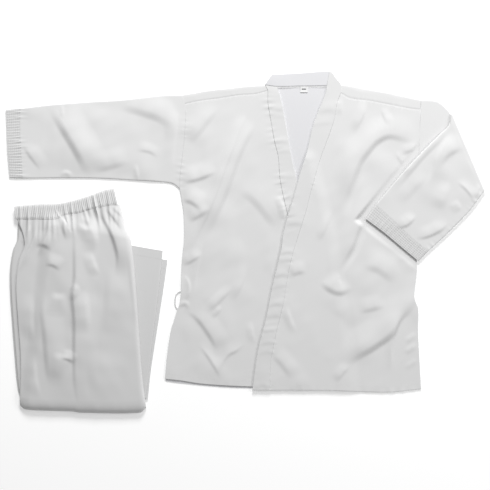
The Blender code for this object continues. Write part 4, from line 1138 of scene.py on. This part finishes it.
@dataclass
class Sleeves:
    """The right sleeve, spread out, and the left one, folded over at the elbow."""

    jacket: Jacket = JACKET
    columns: int = 63
    right_top: Line = ((-164.5, 383), (-222, 382), (-326, 370), (-378, 367), (-482, 360), (-584, 349))
    right_bottom: Line = ((-170, 138), (-188, 152), (-222, 157), (-274, 160), (-378, 166), (-482, 167), (-578, 166))
    right_end: Line = ((-578, 166), (-581, 230), (-584, 290), (-584, 349))
    right_cuff: Line = ((-612, 167), (-617, 230), (-620, 290), (-622, 345))
    upper_arm_top: Line = ((457, 370), (480, 370), (500, 366), (520, 350), (534, 333))
    upper_arm_bottom: Line = ((452, 136), (510, 133), (570, 131), (619, 132))
    forearm_top: Line = ((534, 333), (530, 306), (506, 282), (454, 230), (402, 173), (371, 136), (340, 99))
    forearm_bottom: Line = ((619, 132), (584, 84), (532, 30), (505, 4), (476, -22))
    left_end: Line = ((476, -22), (433, 13), (390, 55), (340, 99))
    sag: float = 2.0
    ribs_right: int = 26
    ribs_left: int = 34
    rib_height: float = 0.4
    stitch_rows: tuple[float, ...] = (0.10, 0.24, 0.38, 0.52, 0.66, 0.80, 0.92)
    stitches: list[np.ndarray] = field(default_factory=list)

    def _across(self, count: int, roll: float = 0.012) -> np.ndarray:
        """Fractions across a flattened tube, closer where it turns at its edges."""
        turn = np.array((0.0, 0.12 * roll, 0.45 * roll, roll))
        return np.concatenate([turn, np.linspace(2 * roll, 1 - 2 * roll, count), 1 - turn[::-1]])

    def _plan(self, armhole: Line, top: Line, bottom: Line, end: Line, across: np.ndarray,
              stations: np.ndarray) -> np.ndarray:
        """Lines across a sleeve from its armhole seam to its end, from the lower edge to the upper."""
        return patch(sampled(armhole, across), sampled(end, across), sampled(bottom, stations),
                     sampled(top, stations), across, stations)

    def _cuff(self, name: str, node: str, plan: np.ndarray, across: np.ndarray, lift: np.ndarray, ribs: int,
              elastic: Elastic, turn: ElbowTurn | None) -> None:
        """A ribbed cuff over a plan.

        Args:
            name: the piece's name.
            node: the solid that it replaces.
            plan: its plan, row by row from its seam to its edge.
            across: the fractions across it.
            lift: how far the sleeve's folds lift it.
            ribs: how many ribs it has.
            elastic: what works the ribs in.
            turn: the elbow's bend, for the left cuff.
        """
        tube = self.jacket.tube
        zero = np.zeros(lift.shape)
        grooves = -0.35 * np.isin(np.round(even(len(plan)) * 40), np.round(np.array(self.stitch_rows) * 40))
        if turn is None:
            cloth = Tube(name, plan, tube + lift + grooves[:, None], zero, across, CUFF, thinned=3)
        else:
            cloth = Tube(name, plan, tube + zero, -lift - grooves[:, None], across, CUFF)
        piece = cloth.build(turn)
        edge = smoothstep(np.minimum(across, 1 - across) / 0.02)
        ends = smoothstep(even(len(plan)) / 0.12)[:, None] * smoothstep((1 - even(len(plan))) / 0.08)[:, None]
        draw, count = edge * ends, len(across)
        keep = list(range(count - 2, 0, -cloth.thinned))
        over, under = (draw, 0 * draw[:, keep]) if turn is None else (0 * draw, draw[:, keep])
        around = np.concatenate([over, under], axis=1)
        share = np.broadcast_to(np.concatenate([across, across[keep]]), around.shape)
        for label, values in (("draw", around), ("across", share)):
            both = np.concatenate([values.ravel(), values.ravel() * (label == "across")])
            piece.data.attributes.new(label, "FLOAT", "POINT").data.foreach_set("value", both)
        elastic.gathered(piece, ribs, self.rib_height, CUFF)
        width = float(np.hypot(*(plan[0, -1] - plan[0, 0])))
        lay(piece, node, (2 * width, 38))

    def right(self, elastic: Elastic) -> None:
        """The right sleeve and its cuff."""
        jacket = self.jacket
        across, stations = self._across(self.columns), even(137)
        plan = self._plan(jacket.armhole_right + (self.right_top[0],), self.right_top, self.right_bottom,
                          self.right_end, across, stations)
        plan[0, :, 0] -= jacket.gap
        lift = JACKET_RELIEF.lift(plan)
        piece = Tube("sleeve_right_cloth", plan, jacket.tube + lift, np.zeros(lift.shape), across, OUTSIDE,
                     thinned=4).build()
        lay(piece, "sleeve_right", (460, 425))

        across = self._across(8 * self.ribs_right + 1)
        seam, edge = sampled(self.right_end, across), sampled(self.right_cuff, across)
        t = even(41)[:, None, None]
        plan = (1 - t) * seam + t * edge
        plan[0, :, 0] -= jacket.gap
        self._cuff("cuff_right_cloth", "cuff_right", plan, across, JACKET_RELIEF.lift(plan), self.ribs_right,
                   elastic, None)
        for place in self.stitch_rows:
            row = plan[int(place * 40), 8:-8:6]
            lift = jacket.tube + JACKET_RELIEF.lift(row)
            self.stitches.append(with_height(row, lift + 0.5 * self.rib_height))

    def left(self, elastic: Elastic) -> None:
        """The left sleeve, one tube that turns over at the elbow and lies back on itself, and its cuff."""
        jacket = self.jacket
        across = self._across(self.columns)
        out_stations, bend_count, back_stations = even(33), 7, even(101)
        elbow = (jacket.elbow_bottom, jacket.elbow_top)
        upper_arm = self._plan(jacket.armhole_left[:-1] + (self.upper_arm_top[0],), self.upper_arm_top,
                               self.upper_arm_bottom, elbow, across, out_stations)
        upper_arm[0, :, 0] += jacket.gap
        forearm = self._plan(elbow, self.forearm_top, self.forearm_bottom, self.left_end, across, back_stations)
        bend = np.repeat(forearm[:1], bend_count, axis=0)
        plan = np.concatenate([upper_arm, bend, forearm])
        turning = np.pi * (np.arange(bend_count) + 1) / (bend_count + 1)
        angles = np.concatenate([0 * out_stations, turning, np.pi + 0 * back_stations])
        drop = np.concatenate([np.zeros(33 + bend_count), self.sag * smoothstep(back_stations)])
        ramp = smoothstep((np.arange(len(plan)) - 33 - bend_count) / 6)[:, None]
        lift = FOREARM_RELIEF.lift(plan) * ramp
        top = np.full(lift.shape, jacket.tube)
        piece = Tube("sleeve_left_cloth", plan, top, -lift, across, OUTSIDE).build(ElbowTurn(angles, drop))
        lay(piece, "sleeve_left", (470, 460))

        across = self._across(6 * self.ribs_left + 1)
        seam, edge = sampled(self.left_end, across), sampled(jacket.cuff_left_end, across)
        t = even(41)[:, None, None]
        plan = (1 - t) * seam + t * edge
        plan[0] += jacket.gap * (plan[1] - plan[0]) / np.linalg.norm(plan[1] - plan[0], axis=1)[:, None]
        turn = ElbowTurn(np.full(41, np.pi), np.full(41, self.sag))
        lift = FOREARM_RELIEF.lift(plan)
        self._cuff("cuff_left_cloth", "cuff_left", plan, across, lift, self.ribs_left, elastic, turn)
        for place in self.stitch_rows:
            row = plan[int(place * 40), 8:-8:6]
            base = 2 * turn.axis_height - self.sag
            self.stitches.append(with_height(row, base + FOREARM_RELIEF.lift(row) + 0.5 * self.rib_height))

    def build(self, elastic: Elastic) -> list[np.ndarray]:
        """Make both sleeves and their cuffs.

        Args:
            elastic: what works the cuffs' ribs in.

        Returns:
            The rows that their stitches follow.
        """
        self.right(elastic)
        self.left(elastic)
        return self.stitches


@dataclass
class Trimmings:
    """The side tie loop and the plain neck label."""

    jacket: Jacket = JACKET
    loop_path: Line = ((-169, -127), (-175, -131), (-180, -138), (-182, -149), (-182, -160), (-180, -168),
                       (-177.4, -172))
    loop_tape: float = 3.5
    loop_height: float = 2.6
    loop_cut: tuple[float, float] = (10, 58)
    label_corner: tuple[float, float] = (143, 390)
    label_size: tuple[float, float] = (19, 14)
    label_thickness: float = 0.6

    def loop(self) -> None:
        """The loop of narrow tape that stands out from the right side seam."""
        path = sampled(self.loop_path, even(61))
        along = np.gradient(path, axis=0)
        along /= np.linalg.norm(along, axis=1)[:, None]
        aside = np.stack([-along[:, 1], along[:, 0]], axis=1) * self.loop_tape / 2
        shares = np.array((-1.0, -0.9, -0.5, 0.0, 0.5, 0.9, 1.0))
        plan = path[:, None] + shares[None, :, None] * aside[:, None]
        crown = np.sqrt(1 - 0.75 * shares ** 2)
        upper = with_height(plan, self.loop_height * crown)
        piece = sheet_shell("side_loop_tape", upper, with_height(plan, 0.0), TAPE)
        lay(piece, "side_loop", self.loop_cut)

    def label(self) -> None:
        """The plain label inside the back of the neck, with a plain woven bar across it."""
        x, y = self.label_corner
        width, height = self.label_size
        across, up = edged(13, 0.01), edged(9, 0.014)
        base = self.jacket.rest
        plan = np.stack(np.meshgrid(x + width * across, y + height * up), axis=-1)
        rise = 0.5 * smoothstep((y + 5 - plan[..., 1]) / 6)
        upper = with_height(plan, base + self.label_thickness + rise)
        lower = with_height(plan, base + rise)
        soft_edges(upper, lower, self.label_thickness)
        piece = sheet_shell("neck_label_cloth", upper, lower, LABEL)
        lay(piece, "neck_label", self.label_size)
        plan = np.stack(np.meshgrid(x + 4 + 11 * even(9), y + 7 + 2.6 * even(3)), axis=-1)
        high = base + self.label_thickness
        bar = sheet_shell("neck_label_bar", with_height(plan, high + 0.12), with_height(plan, high + 0.02),
                          LABEL_BAR)
        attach(bar, "root")
        log.info("made the label's bar")

    def build(self) -> None:
        """Make the loop and the label."""
        self.loop()
        self.label()


@dataclass
class Trousers:
    """The trousers: one leg on the other, folded again at the knee with the hems behind."""

    wall: float = 1.5
    tube: float = 3.3
    gap: float = 0.3
    hidden: float = 6.5
    slack: float = 1.1
    waist_thickness: float = 2.6
    gathers: int = 56
    gather_height: float = 1.2
    far_hem: Line = ((-492, 4), (-350, -20), (-248, -38), (-202, -46))
    far_left: Line = ((-546, -408), (-520, -250), (-492, 4))
    far_right: Line = ((-253, -408), (-245, -332), (-229, -228), (-209, -98), (-202, -46))
    near_hem: Line = ((-484, 26), (-380, 8), (-294, -8), (-214, -22))
    near_left: Line = ((-544, -404), (-516, -250), (-484, 26))
    near_right: Line = ((-259, -404), (-250, -332), (-231, -176), (-222, -98), (-214, -22))
    leg_left: Line = ((-585, -424), (-583, -306), (-590, -202), (-595, -111), (-588, -51), (-573, -7), (-580, 32),
                      (-594, 61))
    leg_right: Line = ((-257, -430), (-266, -358), (-274, -254), (-281, -150), (-289, -51), (-297, 6), (-315, 58),
                       (-325, 98))
    leg_bottom: Line = ((-585, -424), (-573, -434), (-508, -438), (-448, -440), (-430, -443), (-274, -443),
                        (-257, -430))
    leg_top: Line = ((-594, 61), (-542, 61), (-487, 62), (-470, 73), (-430, 79), (-404, 87), (-352, 98), (-325, 98))
    under_left: Line = ((-580, -414), (-591, -384), (-601, -280), (-609, -176), (-612, -124), (-612, -72),
                        (-604, -20), (-594, 4), (-592, 36), (-588, 90))
    under_right: Line = ((-266, -414), (-284, -254), (-299, -51), (-325, 58), (-350, 128))
    under_bottom: Line = ((-580, -414), (-266, -414))
    under_top_line: Line = ((-588, 90), (-487, 95), (-430, 106), (-350, 128))
    waist_bottom: Line = ((-596, 60), (-542, 60), (-487, 61), (-470, 71), (-430, 77), (-404, 85), (-352, 96),
                          (-331, 97))
    waist_top: Line = ((-599, 95), (-534, 100), (-487, 101), (-443, 110), (-404, 122), (-365, 136), (-341, 141))
    stitches: list[np.ndarray] = field(default_factory=list)

    def floor(self, plan: np.ndarray) -> np.ndarray:
        """The height that the upper legs lie at: two lower legs, and nothing beyond them."""
        edge, hem = np.asarray(self.near_left, float), np.asarray(self.near_hem, float)
        left = np.interp(plan[..., 1], edge[:, 1], edge[:, 0])
        top = np.interp(plan[..., 0], hem[:, 0], hem[:, 1])
        beside = smoothstep((plan[..., 0] - left + 50) / 38)
        below = smoothstep((top + 58 - plan[..., 1]) / 44)
        return 2 * (self.tube + self.gap) * beside * below

    def lower_legs(self) -> None:
        """The two lower legs, folded under at the knee, whose hems and right edges show."""
        stations = even(61)
        turn = np.array((0.0, 0.0014, 0.005, 0.012))
        across = np.concatenate([turn, np.linspace(0.025, 0.975, 37), 1 - turn[::-1]])
        relief = Relief((Fold(((-276, -132), (-248, -134), (-222, -132)), 9, -1.4),
                         Fold(((-263, -314), (-242, -316), (-229, -311)), 9, -1.2), Ripple(0.12, 40, 0, 80, 41)), 0.3)
        for name, hem, left, right, rest in (
            ("lower_leg_far", self.far_hem, self.far_left, self.far_right, 0.0),
            ("lower_leg_near", self.near_hem, self.near_left, self.near_right, self.tube + self.gap),
        ):
            plan = patch(sampled((left[0], right[0]), across), sampled(hem, across),
                         sampled(left, stations), sampled(right, stations), across, stations)
            lift = np.minimum(relief.lift(plan), 0.25 if rest == 0 else 3.0)
            share = 1 - smoothstep((self.floor(plan) - 0.5) / 3)
            top = rest + self.tube + lift * share
            piece = Tube(name + "_cloth", plan, top, np.full(top.shape, rest), across, TROUSER, wall=self.wall,
                         thinned=3).build()
            lay(piece, name, (620, 432))
            row = sampled(hem, np.linspace(0.62, 0.985, 60)) - (0, 22)
            self.stitches.append(with_height(row, rest + self.tube + 0.3))

    def hidden_legs(self) -> None:
        """The hidden layers of both upper legs as one rounded solid, with the under leg's layers at its edge."""
        across = np.concatenate([(0, 0.002, 0.006, 0.012, 0.014, 0.02, 0.03), np.linspace(0.07, 0.97, 38), (0.99, 1)])
        up = np.concatenate([(0, 0.01, 0.03), np.linspace(0.06, 0.97, 62), (0.99, 1)])
        plan = patch(sampled(self.under_bottom, across), sampled(self.under_top_line, across),
                     sampled(self.under_left, up), sampled(self.under_right, up), across, up)
        shares = np.ones(len(across))
        shares[:7] = (0.05, 0.36, 0.45, 0.5, 0.86, 0.96, 1.0)
        shares[-2:] = (0.8, 0.3)
        ends = np.ones(len(up))
        ends[:3] = (0.3, 0.8, 0.95)
        ends[-2:] = (0.8, 0.3)
        rest = self.floor(plan)
        thin = self.hidden - self.slack
        upper = with_height(plan, rest + 0.6 + (thin - 0.6) * shares * ends[:, None])
        piece = sheet_shell("leg_under_cloth", upper, with_height(plan, rest + self.gap * (rest > 0.01)), TROUSER)
        lay(piece, "leg_under", (310, 525))

    def upper_leg(self) -> None:
        """The leg that shows, rolled down to the lower leg on the right and to the surface at the knee."""
        across = np.concatenate([(0, 0.0015, 0.005), np.linspace(0.012, 0.955, 98),
                                 (0.966, 0.976, 0.985, 0.992, 0.998, 1)])
        up = np.concatenate([(0, 0.002, 0.006, 0.012, 0.02, 0.03, 0.042), np.linspace(0.055, 1, 160)])
        plan = patch(sampled(self.leg_bottom, across), sampled(self.leg_top, across),
                     sampled(self.leg_left, up), sampled(self.leg_right, up), across, up)
        lift = TROUSER_RELIEF.lift(plan)
        full = self.floor(plan) + self.hidden + self.gap + self.wall + lift
        low = self.floor(plan) + self.gap + self.wall
        side = np.ones(len(across))
        side[-7:] = (1.0, 0.97, 0.9, 0.76, 0.55, 0.25, 0.0)
        side[:3] = (0.8, 0.93, 0.98)
        height = low + (full - low) * side
        end = np.interp(up, (0, 0.002, 0.006, 0.012, 0.02, 0.03, 0.042, 0.06), (0, 0.34, 0.54, 0.7, 0.82, 0.91, 0.97, 1))
        height = self.wall + (height - self.wall) * end[:, None]
        upper = with_height(plan, height)
        normal = np.cross(np.gradient(upper, axis=1), np.gradient(upper, axis=0))
        lower = upper - self.wall * normal / np.linalg.norm(normal, axis=-1)[..., None]
        lower[..., 2] = np.maximum(lower[..., 2], 0.0)
        piece = sheet_shell("leg_upper_cloth", upper, lower, TROUSER, 2)
        lay(piece, "leg_upper", (360, 560))

    def waistband(self, elastic: Elastic) -> None:
        """The gathered elastic waistband."""
        across = even(8 * self.gathers + 1)
        up = np.array((0, 0.04, 0.12, 0.2, 0.3, 0.4, 0.5, 0.6, 0.7, 0.8, 0.87, 0.93, 0.97, 1))
        up = np.append(up, 1.0)[:15]
        up[13:] = (0.99, 1.0)
        plan = patch(sampled(self.waist_bottom, across), sampled(self.waist_top, across),
                     sampled((self.waist_bottom[0], self.waist_top[0]), up),
                     sampled((self.waist_bottom[-1], self.waist_top[-1]), up), across, up)
        rest = self.floor(plan) + self.hidden + self.gap
        roll = np.interp(up, (0, 0.8, 0.9, 0.96, 1), (1, 1, 0.86, 0.6, 0.25))[:, None]
        share = np.interp(up, (0, 0.3, 1), (1.0, 0.9, 0.4))[:, None]
        roll = roll * np.interp(up, (0, 0.12), (0.75, 1.0))[:, None]
        upper = with_height(plan, rest + self.waist_thickness * roll + share * TROUSER_RELIEF.lift(plan)
                            * np.minimum(1.0, 1.2 * roll))
        draw = np.interp(up, (0, 0.2, 0.5, 0.9, 1), (0.1, 0.9, 1.0, 0.8, 0.3))[:, None]
        columns = {"across": np.broadcast_to(across, plan.shape[:2]), "draw": np.broadcast_to(draw, plan.shape[:2])}
        piece = sheet_shell("waistband_cloth", upper, with_height(plan, rest), WAIST, columns=columns)
        elastic.gathered(piece, self.gathers, self.gather_height, WAIST)
        lay(piece, "waistband", (272, 42))
        for place in (2, 5, 8, 10):
            row = upper[place, 4:-4:6].copy()
            row[:, 2] += 0.45 * self.gather_height
            self.stitches.append(row)

    def build(self, elastic: Elastic) -> list[np.ndarray]:
        """Make the trousers.

        Args:
            elastic: what works the waistband's gathers in.

        Returns:
            The rows that their stitches follow.
        """
        self.lower_legs()
        self.hidden_legs()
        self.upper_leg()
        self.waistband(elastic)
        return self.stitches


@dataclass
class Studio:
    """The pale floor, the soft light and the camera over them."""

    lens: float = 100.0
    sensor: float = 36.0
    view_width: float = 1274.0
    centre: tuple[float, float] = (-0.65, -6.8)
    floor_colour: tuple[float, float, float] = (0.93, 0.93, 0.93)
    floor_glow: float = 0.3
    key_power: float = 38.0
    world_strength: float = 0.30

    def floor(self) -> None:
        """A plain pale floor just under the cloth."""
        half = 6.0
        mesh = bpy.data.meshes.new("studio_floor")
        mesh.from_pydata([(-half, -half, -0.0002), (half, -half, -0.0002), (half, half, -0.0002),
                          (-half, half, -0.0002)], [], [(0, 1, 2, 3)])
        paint = bpy.data.materials.new("studio_white")
        paint.use_nodes = True
        shader = paint.node_tree.nodes["Principled BSDF"]
        shader.inputs["Base Color"].default_value = (*self.floor_colour, 1.0)
        shader.inputs["Roughness"].default_value = 0.9
        shader.inputs["Specular IOR Level"].default_value = 0.1
        shader.inputs["Emission Color"].default_value = (1.0, 1.0, 1.0, 1.0)
        shader.inputs["Emission Strength"].default_value = self.floor_glow
        mesh.materials.append(paint)
        floor = bpy.data.objects.new("studio_floor", mesh)
        bpy.context.scene.collection.objects.link(floor)

    def lights(self) -> None:
        """One broad light from behind the collar, a weaker one across, and a pale sky."""
        for name, place, size, share in (("key", (0.2, 3.5, 1.8), 1.1, 1.0), ("fill", (3.0, 1.0, 1.9), 1.2, 0.24)):
            lamp = bpy.data.lights.new(name, "AREA")
            lamp.shape = "SQUARE"
            lamp.size = size
            lamp.energy = self.key_power * 4 * share
            light = bpy.data.objects.new(name, lamp)
            light.location = place
            light.rotation_euler = (Vector((0, 0, 0)) - Vector(place)).to_track_quat("-Z", "Y").to_euler()
            bpy.context.scene.collection.objects.link(light)
        world = bpy.data.worlds.new("studio_sky")
        world.use_nodes = True
        sky = world.node_tree.nodes["Background"]
        sky.inputs["Color"].default_value = (1.0, 1.0, 1.0, 1.0)
        sky.inputs["Strength"].default_value = self.world_strength
        bpy.context.scene.world = world

    def camera(self) -> None:
        """A camera straight above the cloth, its frame as wide as the photograph's."""
        lens = bpy.data.cameras.new("above")
        lens.lens = self.lens
        lens.sensor_width = self.sensor
        lens.clip_end = 50.0
        camera = bpy.data.objects.new("above", lens)
        distance = self.view_width * MM * self.lens / self.sensor
        camera.location = (self.centre[0] * MM, self.centre[1] * MM, distance)
        bpy.context.scene.collection.objects.link(camera)
        bpy.context.scene.camera = camera

    def build(self) -> None:
        """Set the studio up."""
        self.floor()
        self.lights()
        self.camera()
        bpy.context.scene.view_settings.view_transform = "Standard"
        log.info("studio ready")


def main() -> None:
    """Build the uniform piece by piece, then the studio."""
    logging.basicConfig(level=logging.INFO, format="%(name)s: %(message)s")
    elastic, needle = Elastic(), Needle(THREAD)
    rows = JacketBody().build() + Sleeves().build(elastic)
    Trimmings().build()
    needle.sew("jacket_stitches", rows, OUTSIDE.slot)
    needle.sew("trouser_stitches", Trousers().build(elastic), TROUSER.slot)
    Studio().build()


if __name__ == "__main__":
    main()
